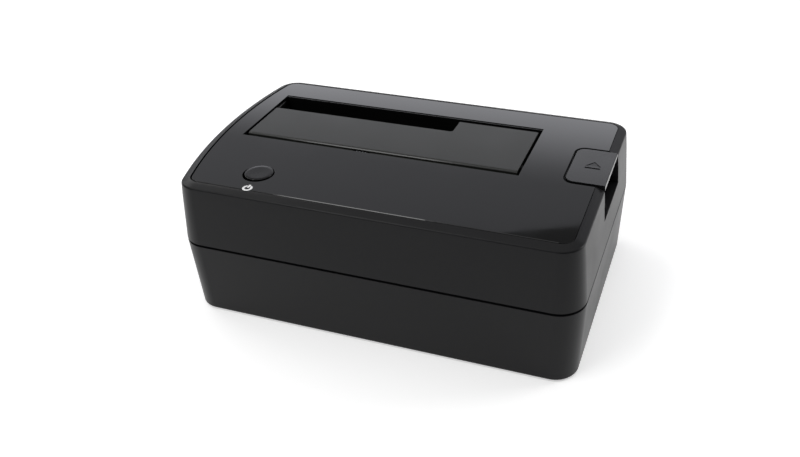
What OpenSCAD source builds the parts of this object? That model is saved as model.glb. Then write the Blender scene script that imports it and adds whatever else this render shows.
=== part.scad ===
// Hard drive docking station: a desktop stand that takes a 3.5 inch or a 2.5 inch drive from above.
// Millimetres. +Z is up, the front is towards -Y, and the table is at z = 0.

/* [Case] */
// Depth of the case from front to back, at the parting line
body_d = 91.7; // [88:0.1:110]
// Height of the lower shell, from its underside to the parting line
base_h = 27.8; // [26:0.1:32]
// Height of the upper shell, from the parting line to the face of the top panel
top_h = 22.9; // [22.5:0.1:28]
// Radius of the upright corners
corner_r = 9.2; // [8.5:0.1:10]
// Radius of the bowed left end, seen from above
bow_r = 168; // [140:1:400]
// How far the crown of the bow lies behind the middle of the case
bow_y = 8.3; // [0:0.1:12]
// Wall thickness of both shells
wall_t = 2.4; // [2.0:0.1:2.6]
// How much the lower shell narrows towards its underside, on each side
base_draft = 1.1; // [0.4:0.1:2]
// How much the upper shell narrows towards its rim, on each side
top_draft = 1.7; // [1.2:0.1:2.1]
// Height of the shadow gap between the shells
part_gap = 0.9; // [0.4:0.1:1.4]

/* [Top panel] */
// Inset of the panel's groove from the parting outline
groove_in = 4.9; // [4.4:0.1:5.6]
// Width of the groove round the panel
groove_w = 0.35; // [0.2:0.05:0.5]
// Thickness of the panel
panel_t = 1.4; // [1.2:0.1:1.8]

/* [Drive slot] */
// Length of the slot, for a drive 101.6 wide
slot_l = 104.1; // [103:0.1:106]
// Width of the slot, for a drive 26.1 thick in front of which the open flap hangs
slot_w = 34.4; // [33:0.1:36]
// Distance from the left end of the case to the slot
slot_left = 12.9; // [12.6:0.1:16]
// Distance from the right end of the case to the slot
slot_right = 30.6; // [27.5:0.1:45]
// Distance from the back of the case to the slot
slot_back = 17.6; // [16:0.1:20]
// Length of the small slot that the flap leaves open, for a drive 69.85 wide
notch_l = 72.7; // [71:0.1:76]
// Width of the small slot, for a drive up to 9.5 thick
notch_w = 9.9; // [9.7:0.1:11]

/* [Flap] */
// How far the flap lies below the face of the panel
flap_drop = 0.4; // [0.2:0.1:0.8]
// Thickness of the flap
flap_t = 2.2; // [1.8:0.1:2.3]
// Radius of the rounded hinge edge
flap_nose_r = 2.6; // [2.5:0.1:3]
// Radius of the hinge rod
rod_r = 1.0; // [0.8:0.1:1.1]

/* [Buttons] */
// Radius of the power button's hole
power_hole_r = 5.4; // [4.6:0.1:6]
// How far the power button stands above the panel
power_rise = 0.8; // [0.4:0.1:1.4]
// Width of the eject tab, along the right side of the case
tab_w = 23.8; // [21:0.1:25]
// Length of the eject tab, inwards from the rim
tab_l = 13.6; // [13.4:0.1:14.6]
// Depth of the finger recess under the eject tab
recess_h = 11.8; // [9:0.1:13]
// Travel of the eject tab
eject_travel = 4.0; // [3:0.1:4.2]

/* [Hidden] */
$fn = 48;
eps = 0.01;
over = 1;
corner_n = 8;
bow_n = 12;

// Heights above the table
foot_drop = 0.5;
floor_t = 2.2;
base_edge_r = 0.8;
base_edge_step = 30;
z_base = foot_drop;
z_floor = z_base + floor_t;
z_part = z_base + base_h;
z_top = z_part + top_h;
z_base_rim = z_part - part_gap / 2;
z_top_low = z_part + part_gap / 2;
deck_t = 2.4;
z_panel = z_top - panel_t;
z_deck = z_panel - deck_t;

// Rim of the upper shell: the shoulder's drop and share of the draft, then [drop, inset past the draft]
shoulder_drop = 6;
shoulder_share = 0.78;
rim_curve = [[2.5, 0], [1.5, 0.2], [1.1, 0.5], [0.85, 0.9], [0.35, 2.2]];
rim_end_drop = 0.05;
rim_end_over = 0.1;

// Fits
slip = 0.15;
play = 0.3;
run_fit = 0.06;
snug_fit = 0.02;

// Case outline: two square-on corners at the right, two corners that meet the bow at the left
body_l = slot_left + slot_l + slot_right;
half_l = body_l / 2;
half_d = body_d / 2;
bow_c = [bow_r - half_l, bow_y];
cy_back = half_d - corner_r;
cy_front = -cy_back;
cx_right = half_l - corner_r;
inner_r = bow_r - corner_r;
cx_left_back = bow_c[0] - sqrt(inner_r * inner_r - (cy_back - bow_y) * (cy_back - bow_y));
cx_left_front = bow_c[0] - sqrt(inner_r * inner_r - (cy_front - bow_y) * (cy_front - bow_y));
turn_back = asin((cy_back - bow_y) / inner_r);
turn_front = asin((bow_y - cy_front) / inner_r);
corner_pts = [
    [cx_right, cy_front],
    [cx_right, cy_back],
    [cx_left_back, cy_back],
    [cx_left_front, cy_front]
];

// Fasteners and feet
screw_r = 1.2;
screw_head_r = 2.5;
screw_head_h = 1.6;
screw_hole_r = screw_r + play;
pilot_r = 1.25;
boss_r = 2.6;
case_post_r = 3.6;
case_bore_r = 2.9;
case_clear_r = 1.6;
case_seat_z = z_base + 8;
case_post_z = z_base + 17;
case_screw_in = 10;
post_gap = 0.2;
well_screw_l = 6;
switch_screw_l = 6.5;
pilot_end = 1.0;
foot_r = 5.0;
foot_t = 2.0;
foot_bevel = 0.5;
foot_in = [9.5, 2.5];
foot_pts = [for (p = corner_pts) [p[0] - sign(p[0]) * foot_in[0], p[1] - sign(p[1]) * foot_in[1]]];

// Lip of the lower shell that locates the upper one
lip_in = 1.1;
lip_t = 1.2;
lip_h = 2.2;
lip_root = 2.0;

// Slot, measured in the case
slot_x0 = slot_left - half_l;
slot_x1 = slot_x0 + slot_l;
slot_y1 = half_d - slot_back;
slot_y0 = slot_y1 - slot_w;
notch_x = slot_x0 + notch_l;
notch_y = slot_y1 - notch_w;
notch_r = 1.2;
slot_ledge = 0.4;

// Drive well
well_t = 2.0;
well_floor_t = 1.6;
seat_z = 16.2;
z_well = seat_z - well_floor_t;
ear_z = z_deck - 7.0;
ear_t = 1.6;
ear_l = 6.2;
ear_w = 9;
ear_in = 3.1;
ear_ys = [slot_y0 + 7, slot_y1 - 6];
ear_x_left = slot_x0 - well_t - ear_in;
ear_x_right = slot_x1 + well_t + ear_in;

// Flap hinge, along X near the front edge of the slot
flap_gap = 0.4;
flap_end_gap = 0.65;
flap_back_gap = 1.6;
flap_z1 = z_top - flap_drop;
flap_z0 = flap_z1 - flap_t;
hinge_y = slot_y0 + flap_gap + flap_nose_r;
hinge_z = flap_z1 - flap_nose_r;
flap_x0 = slot_x0 + flap_end_gap;
flap_x1 = slot_x1 - flap_end_gap;
flap_y1 = slot_y1 - flap_back_gap;
lug_w = 2.0;
lug_h = 1.6;
lug_y = hinge_y + 6.0;
lug_z1 = flap_z0 + 0.4;
lug_in = 0.9;
lug_root = 2.5;
lug_stop_gap = 0.05;
flap_rib_n = 7;
flap_rib_t = 1.2;
flap_rib_h = 2.0;
flap_rib_end_h = 0.8;
flap_rib_in = 4.0;
rod_in = 1.6;
rod_end_gap = 0.1;
flap_coil_x = slot_x0 + 46;
flap_coil_l = 6.4;
coil_wire_r = 0.25;
coil_r = 1.45;
coil_room = 0.35;
coil_pocket_r = coil_r + coil_wire_r + coil_room;
coil_turns = 4;
coil_pitch = 1.1;
coil_leg_fixed = 3.2;
coil_leg_flap = 6.0;
coil_leg_room = 3.0;

// Drive socket: drives stand with their board side 0.5 from the back wall of the well
drive_gap = 0.5;
drive_conn = 3.5;
sata_l = 42;
sata_t = 5.6;
sata_x = slot_x0 + slot_l / 2 - 20.7;
sata_y = slot_y1 - drive_gap - drive_conn;
sata_top = seat_z + 3.4;
sata_groove = 2.4;
sata_depth = 6.5;
sata_key = 1.6;
sata_turn = 1.2;

// Heights of the main board
board_t = 1.6;
board_z = 7.0;
board_top = board_z + board_t;

// Rear sockets, in a flat field sunk into the rear wall
port_field_in = 1.6;
port_field_y = half_d - port_field_in;
port_face_y = port_field_y + 0.4;
port_field_side = 6;
port_field_up = 3;
usb_x = slot_x0 + 14;
usb_w = 12;
usb_h = 11;
usb_d = 12.2;
usb_wall = 0.5;
usb_bevel = 2.2;
jack_x = slot_x0 + 40;
jack_w = 9;
jack_h = 11;
jack_d = 12.0;
jack_axis_z = board_top + 6.2;
jack_bore_r = 3.1;
jack_pin_r = 1.0;
jack_back_t = 2.0;

// Power button and its switch
power_x = slot_x0 + 20.2;
power_y = 15.7 - half_d;
power_gap = 0.35;
power_travel = 1.0;
plunger_r = 1.7;
plunger_in = 0.8;
power_flange_t = 1.2;
switch_top = z_deck - 9.9;
stem_z = switch_top + 1.4;
switch_h = 3.5;
switch_board_t = 1.2;
switch_board_z = switch_top - switch_h - switch_board_t;
switch_board_l = 25.6;
switch_board_w = 13;
switch_boss_x = 9.8;

// Eject tab, its recess and the rocker below
tab_x1 = half_l - 1.9;
tab_x0 = tab_x1 - tab_l;
tab_y0 = slot_y0 + 0.85;
tab_y1 = tab_y0 + tab_w;
tab_t = 1.8;
tab_rise = 0.4;
tab_z1 = z_top + tab_rise;
tab_z0 = tab_z1 - tab_t;
tab_r = 3.0;
tab_edge_r = 0.9;
tab_gap = 0.6;
recess_z = z_top - recess_h;
recess_t = 1.5;
recess_flare = 1.7;
recess_flare_x = half_l - 1.3;
stem_x0 = tab_x0 + 0.5;
stem_w = 4.0;
stem_y0 = tab_y1 - 10.6;
stem_l = 9.0;
tip_x = stem_x0 + stem_w / 2;
tip_r = 2.0;
tip_gap = 0.3;
lever_arm = 24.5;
pivot_x = tip_x - lever_arm;
pivot_z = 11.7;
lever_t = 3.0;
lever_y0 = sata_y - 5.2;
lever_y1 = lever_y0 + 7.0;
lever_z1 = pivot_z + lever_t / 2;
lever_z0 = pivot_z - lever_t / 2;
toe_x = sata_x + sata_l / 2 + 9.5;
toe_w = 5.0;
toe_side = 0.6;
toe_z = seat_z - 0.2;
paddle_in = 6.0;
paddle_side = 1.0;
pivot_boss_r = 2.3;
pivot_pin_r = 1.0;
lever_ear_t = 1.6;
lever_ear_w = 6.0;
pivot_cover = 2.0;
lever_play = 0.3;
pin_y0 = lever_y0 - lever_play - lever_ear_t;
pin_y1 = lever_y1 + lever_play + lever_ear_t;
lever_slot_side = 0.5;
lever_slot_x0 = toe_x - toe_w / 2 - 0.9;
lever_turn = eject_travel / lever_arm * 180 / PI;
lever_rise = z_well - play - lever_z1;
lever_slot_x1 = pivot_x + 0.5 - lever_rise / sin(lever_turn);
eject_coil_r = 3.0;
eject_peg_h = 1.2;
eject_coil_y = stem_y0 + stem_l / 2;

// Main board
board_x0 = cx_left_back + case_post_r + 1.2;
board_x1 = pivot_x - 6;
board_y0 = cy_front + case_post_r + 1.2;
board_y1 = half_d - 5.2;
board_hole_in = 4;
board_holes = [
    [board_x0 + board_hole_in, board_y0 + board_hole_in],
    [board_x1 - board_hole_in, board_y0 + board_hole_in],
    [board_x1 - board_hole_in, board_y1 - board_hole_in],
    [slot_x0 + 28, board_y1 - board_hole_in]
];
standoff_r = 2.7;
part_space = 2.0;
bridge_x = slot_x0 + 50;
bridge_y = slot_y0 + 6;
chip_step = 16;
coil_side = 6.4;
coil_x = jack_x + jack_w / 2 + part_space;
coil_y = board_y1 - 5.6;
cap_r = 3.2;
cap_x = board_x1 - board_hole_in - screw_head_r - cap_r - part_space;
cap_y = board_y1 - 5.4;
standoff_floor = 0.4;
screw_end_gap = 0.4;

// Colours
case_black = [0.12, 0.12, 0.12];
panel_black = [0.2, 0.2, 0.22];
flap_grey = [0.28, 0.28, 0.27];
steel = [0.72, 0.72, 0.74];
board_green = [0.07, 0.3, 0.16];
chip_black = [0.06, 0.06, 0.07];
gold = [0.85, 0.68, 0.3];
usb_blue = [0.1, 0.25, 0.6];
rubber_black = [0.05, 0.05, 0.05];

// Points of an arc from angle a0 to a1 in n steps, leaving out the first i0 and the last i1
function arc(c, r, a0, a1, n, i0 = 0, i1 = 0) = [
    for (i = [i0 : n - i1])
        let (a = a0 + (a1 - a0) * i / n)
            [c[0] + r * cos(a), c[1] + r * sin(a)]
];

// Outline of the case, moved inwards by d
function outline(d) = concat(
    arc(corner_pts[0], corner_r - d, -90, 0, corner_n),
    arc(corner_pts[1], corner_r - d, 0, 90, corner_n),
    arc(corner_pts[2], corner_r - d, 90, 180 - turn_back, corner_n),
    arc(bow_c, bow_r - d, 180 - turn_back, 180 + turn_front, bow_n, 1, 1),
    arc(corner_pts[3], corner_r - d, 180 + turn_front, 270, corner_n)
);

// Solid through the case outline at each [height, inset]
module loft(stations) {
    n = len(outline(0));
    k = len(stations);
    pts = [for (s = stations) for (p = outline(s[1])) [p[0], p[1], s[0]]];
    sides = [
        for (j = [0 : k - 2])
            for (i = [0 : n - 1])
                let (m = (i + 1) % n)
                    [j * n + i, (j + 1) * n + i, (j + 1) * n + m, j * n + m]
    ];
    bottom = [for (i = [0 : n - 1]) i];
    top = [for (i = [0 : n - 1]) k * n - 1 - i];
    polyhedron(pts, concat([bottom], sides, [top]));
}

// Box between two corners
module span(a, b) {
    translate(a)
        cube(b - a);
}

// Cylinder along X
module rod_x(x0, x1, y, z, r) {
    translate([x0, y, z])
        rotate([0, 90, 0])
            cylinder(h = x1 - x0, r = r);
}

// Cylinder along Y
module rod_y(x, y0, y1, z, r) {
    translate([x, y0, z])
        rotate([-90, 0, 0])
            cylinder(h = y1 - y0, r = r);
}

// Wire coil along Z from z = 0, with straight legs at its first and last end
module coil(r, wire, turns, pitch, leg0, leg1) {
    steps = 12;
    sides = 6;
    last = turns * steps;
    spots = concat(
        leg0 > 0 ? [[0, -leg0]] : [],
        [for (i = [0 : last]) [i, 0]],
        leg1 > 0 ? [[last, leg1]] : []
    );
    rings = [
        for (s = spots)
            let (
                a = 360 * s[0] / steps,
                out = [cos(a), sin(a), 0],
                along = [-sin(a), cos(a), 0],
                c = r * out + [0, 0, pitch * s[0] / steps] + s[1] * along
            )
                [for (k = [0 : sides - 1])
                    c + wire * (cos(360 * k / sides) * out + sin(360 * k / sides) * [0, 0, 1])]
    ];
    n = len(rings);
    pts = [for (g = rings) each g];
    skin = [
        for (j = [0 : n - 2])
            for (k = [0 : sides - 1])
                let (m = (k + 1) % sides)
                    [j * sides + k, j * sides + m, (j + 1) * sides + m, (j + 1) * sides + k]
    ];
    start = [for (k = [0 : sides - 1]) sides - 1 - k];
    end = [for (k = [0 : sides - 1]) (n - 1) * sides + k];
    polyhedron(pts, concat([start], skin, [end]));
}

// Screw pointing up along Z, its head's bearing face at z = 0
module screw_up(len) {
    slot_w = 0.7;
    slot_deep = 0.8;
    difference() {
        union() {
            translate([0, 0, -screw_head_h])
                cylinder(h = screw_head_h, r = screw_head_r);
            cylinder(h = len, r = screw_r);
        }
        for (a = [0, 90])
            rotate([0, 0, a])
                translate([-screw_head_r * 0.6, -slot_w / 2, -screw_head_h - eps])
                    cube([screw_head_r * 1.2, slot_w, slot_deep]);
    }
}

// Lower shell: a tray with a locating lip, screw posts, board standoffs and the rocker's bearing
module base_shell() {
    color(case_black)
        difference() {
            union() {
                difference() {
                    loft(concat(
                        [for (a = [0 : base_edge_step : 90]) [
                            z_base + base_edge_r * (1 - cos(a)),
                            base_draft + base_edge_r * (1 - sin(a))
                        ]],
                        [[z_base_rim, 0]]
                    ));
                    loft([[z_floor, base_draft + wall_t], [z_base_rim + over, wall_t]]);
                }
                difference() {
                    loft([[z_base_rim - lip_root, lip_in], [z_base_rim + lip_h, lip_in]]);
                    loft([
                        [z_base_rim - lip_root - over, lip_in + lip_t],
                        [z_base_rim + lip_h + over, lip_in + lip_t]
                    ]);
                }
                for (p = corner_pts)
                    translate([p[0], p[1], z_floor - eps])
                        cylinder(h = case_post_z - z_floor, r = case_post_r);
                for (p = board_holes)
                    translate([p[0], p[1], z_floor - eps])
                        cylinder(h = board_z - z_floor + eps, r = standoff_r);
                for (y = [pin_y0, lever_y1 + lever_play])
                    span(
                        [pivot_x - lever_ear_w / 2, y, z_floor - eps],
                        [pivot_x + lever_ear_w / 2, y + lever_ear_t, pivot_z + pivot_cover]
                    );
                translate([tip_x, eject_coil_y, z_floor - eps])
                    cylinder(h = eject_peg_h, r = eject_coil_r - 0.8);
            }
            for (p = corner_pts) {
                translate([p[0], p[1], z_base - over])
                    cylinder(h = case_seat_z - z_base + over, r = case_bore_r);
                translate([p[0], p[1], z_base])
                    cylinder(h = case_post_z, r = case_clear_r);
            }
            for (p = board_holes)
                translate([p[0], p[1], z_floor + standoff_floor])
                    cylinder(h = board_z, r = pilot_r);
            for (p = foot_pts)
                translate([p[0], p[1], z_base - over])
                    cylinder(h = over + foot_t - foot_drop, r = foot_r + slip);
            rod_y(pivot_x, pin_y0 - over, pin_y1 + over, pivot_z, pivot_pin_r + snug_fit);
            span(
                [usb_x - usb_w / 2 - port_field_side, port_field_y, board_top - port_field_up],
                [jack_x + jack_w / 2 + port_field_side, half_d + over, board_top + usb_h + port_field_up]
            );
            span(
                [usb_x - usb_w / 2 - slip, board_y1, board_top - slip],
                [usb_x + usb_w / 2 + slip, half_d + over, board_top + usb_h + slip]
            );
            span(
                [jack_x - jack_w / 2 - slip, board_y1, board_top - slip],
                [jack_x + jack_w / 2 + slip, half_d + over, board_top + jack_h + slip]
            );
        }
}

// Four round feet with a bevelled lower edge, in shallow pockets under the base
module rubber_feet() {
    color(rubber_black)
        for (p = foot_pts)
            translate([p[0], p[1], 0])
                rotate_extrude()
                    polygon([
                        [0, 0],
                        [foot_r - foot_bevel, 0],
                        [foot_r, foot_bevel],
                        [foot_r, foot_t],
                        [0, foot_t]
                    ]);
}

// Circuit board on four standoffs
module main_board() {
    color(board_green)
        difference() {
            span([board_x0, board_y0, board_z], [board_x1, board_y1, board_top]);
            for (p = board_holes)
                translate([p[0], p[1], board_z - over])
                    cylinder(h = board_t + 2 * over, r = screw_hole_r);
        }
}

module board_screws() {
    color(steel)
        for (p = board_holes)
            translate([p[0], p[1], board_top])
                rotate([180, 0, 0])
                    screw_up(board_top - z_floor - standoff_floor - screw_end_gap);
}

// Signal and power grooves of the drive socket, each with a short turn at its left end that keys the plug:
// [x from the socket's middle, length]
sata_grooves = [[-13.5, 11], [6.8, 24]];

module sata_socket() {
    color(chip_black)
        difference() {
            span(
                [sata_x - sata_l / 2, sata_y - sata_t / 2, board_top],
                [sata_x + sata_l / 2, sata_y + sata_t / 2, sata_top]
            );
            for (g = sata_grooves)
                span(
                    [sata_x + g[0] - g[1] / 2, sata_y - sata_groove / 2, sata_top - sata_depth],
                    [sata_x + g[0] + g[1] / 2, sata_y + sata_groove / 2, sata_top + over]
                );
            for (g = sata_grooves)
                span(
                    [sata_x + g[0] - g[1] / 2, sata_y - sata_groove / 2 - sata_turn, sata_top - sata_depth],
                    [sata_x + g[0] - g[1] / 2 + sata_turn, sata_y, sata_top + over]
                );
            for (s = [-1, 1])
                span(
                    [sata_x + s * sata_l / 2 - sata_key, sata_y - sata_groove / 2, sata_top - sata_depth],
                    [sata_x + s * sata_l / 2 + sata_key, sata_y + sata_groove / 2, sata_top + over]
                );
        }
}

// Contact blades, one per way, on the rear wall of each groove
module sata_contacts() {
    pitch = 1.27;
    ways = [7, 15];
    blade = [0.6, 0.4, 5.2];
    color(gold)
        for (i = [0, 1])
            for (k = [0 : ways[i] - 1])
                translate([
                    sata_x + sata_grooves[i][0] + (k - (ways[i] - 1) / 2) * pitch - blade[0] / 2,
                    sata_y + sata_groove / 2 - blade[1],
                    sata_top - sata_depth
                ])
                    cube(blade);
}

// Metal shell of the type B socket: a tube with a closed back and two bevelled top corners
module usb_shell() {
    color(steel)
        translate([usb_x, port_face_y, board_top])
            rotate([90, 0, 0])
                difference() {
                    linear_extrude(usb_d)
                        usb_section(0);
                    translate([0, 0, -usb_wall])
                        linear_extrude(usb_d)
                            usb_section(usb_wall);
                }
}

module usb_section(d) {
    w = usb_w / 2 - d;
    polygon([
        [-w, d],
        [w, d],
        [w, usb_h - usb_bevel],
        [w - usb_bevel, usb_h - d],
        [usb_bevel - w, usb_h - d],
        [-w, usb_h - usb_bevel]
    ]);
}

module usb_tongue() {
    w = 5.8;
    h = 3.2;
    low = 3.6;
    back = 1.6;
    color(usb_blue)
        span(
            [usb_x - w / 2, port_face_y - usb_d + usb_wall, board_top + low],
            [usb_x + w / 2, port_face_y - back, board_top + low + h]
        );
}

// Power inlet: a block with a round socket
module dc_jack() {
    color(chip_black)
        difference() {
            span(
                [jack_x - jack_w / 2, port_face_y - jack_d, board_top],
                [jack_x + jack_w / 2, port_face_y, board_top + jack_h]
            );
            rod_y(jack_x, port_face_y - jack_d + jack_back_t, port_face_y + over, jack_axis_z, jack_bore_r);
        }
}

module dc_pin() {
    pin_in = 1.2;
    color(steel)
        rod_y(jack_x, port_face_y - jack_d + jack_back_t, port_face_y - pin_in, jack_axis_z, jack_pin_r);
}

// Rows of flat leads on two opposite sides of a package that is centred on the origin
module leads(n, pitch, side, foot) {
    w = pitch * 0.45;
    t = 0.2;
    for (i = [0 : n - 1])
        for (k = [-1, 1])
            translate([(i - (n - 1) / 2) * pitch - w / 2, k * (side / 2 + foot / 2) - foot / 2 - eps, 0])
                cube([w, foot + 2 * eps, t]);
}

// Square package with leads on all four sides
module bridge_chip() {
    side = 9;
    h = 1.0;
    n = 12;
    pitch = 0.65;
    foot = 0.9;
    color(chip_black)
        translate([bridge_x, bridge_y, board_top]) {
            translate([-side / 2, -side / 2, 0])
                cube([side, side, h]);
            for (a = [0, 90])
                rotate([0, 0, a])
                    leads(n, pitch, side, foot);
        }
}

// Small package with four leads on each long side
module flash_chip() {
    l = 5.2;
    w = 4.0;
    h = 1.5;
    pitch = 1.27;
    foot = 0.9;
    color(chip_black)
        translate([bridge_x + chip_step, bridge_y, board_top]) {
            translate([-l / 2, -w / 2, 0])
                cube([l, w, h]);
            leads(4, pitch, w, foot);
        }
}

// Metal can with round ends on a thin flange
module crystal() {
    l = 10.2;
    w = 3.8;
    h = 3.4;
    flange = 0.5;
    color(steel)
        translate([bridge_x - chip_step, bridge_y, board_top]) {
            linear_extrude(h)
                can_shape(l, w);
            linear_extrude(flange)
                can_shape(l + 2 * flange, w + 2 * flange);
        }
}

module can_shape(l, w) {
    square([l - w, w], center = true);
    for (k = [-1, 1])
        translate([k * (l - w) / 2, 0])
            circle(w / 2);
}

// Shielded coils: a drum on a square foot with bevelled corners
module power_coils() {
    h = 3.2;
    foot_h = 1.0;
    bevel = 1.2;
    k = coil_side / 2;
    color(chip_black)
        for (i = [0, 1])
            translate([coil_x + k + i * (coil_side + part_space), coil_y, board_top]) {
                linear_extrude(foot_h)
                    polygon([
                        [-k + bevel, -k], [k - bevel, -k], [k, -k + bevel], [k, k - bevel],
                        [k - bevel, k], [-k + bevel, k], [-k, k - bevel], [-k, -k + bevel]
                    ]);
                cylinder(h = h, r = k);
            }
}

// Upright cans with a crimped groove near the foot and a rounded top edge
module capacitors() {
    h = 8;
    crimp_z = 1.4;
    crimp = 0.35;
    round_r = 0.7;
    color(chip_black)
        for (i = [0, 1])
            translate([cap_x - i * (2 * cap_r + part_space), cap_y, board_top])
                rotate_extrude()
                    polygon(concat(
                        [
                            [0, 0],
                            [cap_r, 0],
                            [cap_r, crimp_z - crimp],
                            [cap_r - crimp, crimp_z],
                            [cap_r, crimp_z + crimp]
                        ],
                        arc([cap_r - round_r, h - round_r], round_r, 0, 90, 4),
                        [[0, h]]
                    ));
}

module lever_pin() {
    color(steel)
        rod_y(pivot_x, pin_y0, pin_y1, pivot_z, pivot_pin_r);
}

// Rocker: the tab's stem pushes its paddle down and its toe lifts the drive
module eject_lever() {
    thin = 0.8;
    color(flap_grey)
        difference() {
            union() {
                translate([0, lever_y1, 0])
                    rotate([90, 0, 0])
                        linear_extrude(lever_y1 - lever_y0) {
                            polygon([
                                [toe_x - toe_w / 2, lever_z0 + thin],
                                [pivot_x - pivot_boss_r, lever_z0],
                                [tip_x + paddle_in, lever_z0],
                                [tip_x + paddle_in, lever_z1],
                                [toe_x - toe_w / 2, lever_z1]
                            ]);
                            translate([pivot_x, pivot_z])
                                circle(pivot_boss_r);
                        }
                span(
                    [tip_x - paddle_in, stem_y0 - paddle_side, lever_z0],
                    [tip_x + paddle_in, lever_y0 + over, lever_z1]
                );
                translate([0, lever_y1 - toe_side, 0])
                    rotate([90, 0, 0])
                        linear_extrude(lever_y1 - lever_y0 - 2 * toe_side)
                            polygon([
                                [toe_x - toe_w / 2, lever_z1 - eps],
                                [toe_x + toe_w / 2, lever_z1 - eps],
                                [toe_x + toe_w / 2 - thin, toe_z],
                                [toe_x - toe_w / 2 + thin, toe_z]
                            ]);
            }
            rod_y(pivot_x, lever_y0 - over, lever_y1 + over, pivot_z, pivot_pin_r + run_fit);
        }
}

// Return spring under the paddle
module eject_spring() {
    wire = 0.25;
    turns = 5;
    gap = 0.05;
    height = lever_z0 - z_floor - 2 * gap;
    pitch = (height - 2 * wire) / turns;
    echo(eject_spring_gap = pitch - 2 * wire);
    color(steel)
        translate([tip_x, eject_coil_y, z_floor + gap + wire])
            coil(eject_coil_r, wire, turns, pitch, 0, 0);
}

// Chute for the drive: four walls, a floor with openings for the socket and the rocker, and four ears
module drive_well() {
    color(case_black)
        difference() {
            union() {
                span(
                    [slot_x0 - well_t, slot_y0 - well_t, z_well],
                    [slot_x1 + well_t, slot_y1 + well_t, z_panel]
                );
                for (y = ear_ys) {
                    span(
                        [slot_x0 - well_t - ear_l, y - ear_w / 2, ear_z],
                        [slot_x0 - well_t + eps, y + ear_w / 2, ear_z + ear_t]
                    );
                    span(
                        [slot_x1 + well_t - eps, y - ear_w / 2, ear_z],
                        [slot_x1 + well_t + ear_l, y + ear_w / 2, ear_z + ear_t]
                    );
                }
            }
            span([slot_x0, slot_y0, seat_z], [slot_x1, slot_y1, z_top]);
            span(
                [sata_x - sata_l / 2 - play, sata_y - sata_t / 2 - play, z_well - over],
                [sata_x + sata_l / 2 + play, sata_y + sata_t / 2 + play, seat_z + over]
            );
            span(
                [lever_slot_x0, lever_y0 - lever_slot_side, z_well - over],
                [lever_slot_x1, lever_y1 + lever_slot_side, seat_z + over]
            );
            rod_x(
                slot_x0 - rod_in - rod_end_gap,
                slot_x1 + rod_in + rod_end_gap,
                hinge_y,
                hinge_z,
                rod_r + run_fit
            );
            lug_track(slot_x0 - lug_in - play, slot_x0 + over);
            lug_track(slot_x1 - over, slot_x1 + lug_in + play);
            for (x = [ear_x_left, ear_x_right])
                for (y = ear_ys)
                    translate([x, y, ear_z - over])
                        cylinder(h = ear_t + 2 * over, r = screw_hole_r);
        }
}

module well_screws() {
    color(steel)
        for (x = [ear_x_left, ear_x_right])
            for (y = ear_ys)
                translate([x, y, ear_z])
                    screw_up(well_screw_l);
}

module flap_rod() {
    color(steel)
        rod_x(slot_x0 - rod_in, slot_x1 + rod_in, hinge_y, hinge_z, rod_r);
}

// Torsion spring on the hinge rod, in a pocket under the rounded edge
module flap_spring() {
    lay = 14.5;
    echo(flap_spring_gap = coil_pitch - 2 * coil_wire_r);
    color(steel)
        translate([flap_coil_x - coil_turns * coil_pitch / 2, hinge_y, hinge_z])
            rotate([0, 90, 0])
                rotate([0, 0, lay])
                    coil(coil_r, coil_wire_r, coil_turns, coil_pitch, coil_leg_fixed, coil_leg_flap);
}

// Small slot as seen from above, with its inner corner rounded
module notch_shape() {
    x0 = flap_x0 - over;
    y1 = flap_y1 + over;
    translate([x0, notch_y])
        square([notch_x - notch_r - x0, y1 - notch_y]);
    translate([x0, notch_y + notch_r])
        square([notch_x - x0, y1 - notch_y - notch_r]);
    translate([notch_x - notch_r, notch_y + notch_r])
        circle(notch_r);
}

// Dust flap: a ribbed plate with a rounded hinge edge, cut away at the back left for the small slot,
// and a lug at each end that stops it when it is shut
module flap() {
    nose = arc([hinge_y, hinge_z], flap_nose_r, 90, 360 + asin((flap_z0 - hinge_z) / flap_nose_r), 24);
    rib_pitch = (flap_x1 - flap_x0 - 2 * flap_rib_in) / (flap_rib_n - 1);
    rib_y1 = notch_y - flap_rib_in;
    color(flap_grey)
        difference() {
            union() {
                translate([flap_x0, 0, 0])
                    rotate([90, 0, 90])
                        linear_extrude(flap_x1 - flap_x0)
                            polygon(concat(nose, [[flap_y1, flap_z0], [flap_y1, flap_z1]]));
                for (i = [0 : flap_rib_n - 1])
                    translate([flap_x0 + flap_rib_in + i * rib_pitch - flap_rib_t / 2, 0, 0])
                        rotate([90, 0, 90])
                            linear_extrude(flap_rib_t)
                                polygon([
                                    [hinge_y, flap_z0 + eps],
                                    [hinge_y, flap_z0 - flap_rib_h],
                                    [rib_y1, flap_z0 - flap_rib_end_h],
                                    [rib_y1, flap_z0 + eps]
                                ]);
                span(
                    [flap_x0 - flap_end_gap - lug_in, lug_y, lug_z1 - lug_h],
                    [flap_x0 + lug_root, lug_y + lug_w, lug_z1]
                );
                span(
                    [flap_x1 - lug_root, lug_y, lug_z1 - lug_h],
                    [flap_x1 + flap_end_gap + lug_in, lug_y + lug_w, lug_z1]
                );
            }
            translate([0, 0, flap_z0 - over])
                linear_extrude(flap_t + 2 * over)
                    notch_shape();
            rod_x(flap_x0 - over, flap_x1 + over, hinge_y, hinge_z, rod_r + snug_fit);
            rod_x(
                flap_coil_x - flap_coil_l / 2,
                flap_coil_x + flap_coil_l / 2,
                hinge_y,
                hinge_z,
                coil_pocket_r
            );
            span(
                [flap_coil_x - flap_coil_l / 2, hinge_y - coil_pocket_r, hinge_z - flap_nose_r - over],
                [flap_coil_x + flap_coil_l / 2, hinge_y + coil_leg_flap + coil_leg_room, hinge_z]
            );
        }
}

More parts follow.
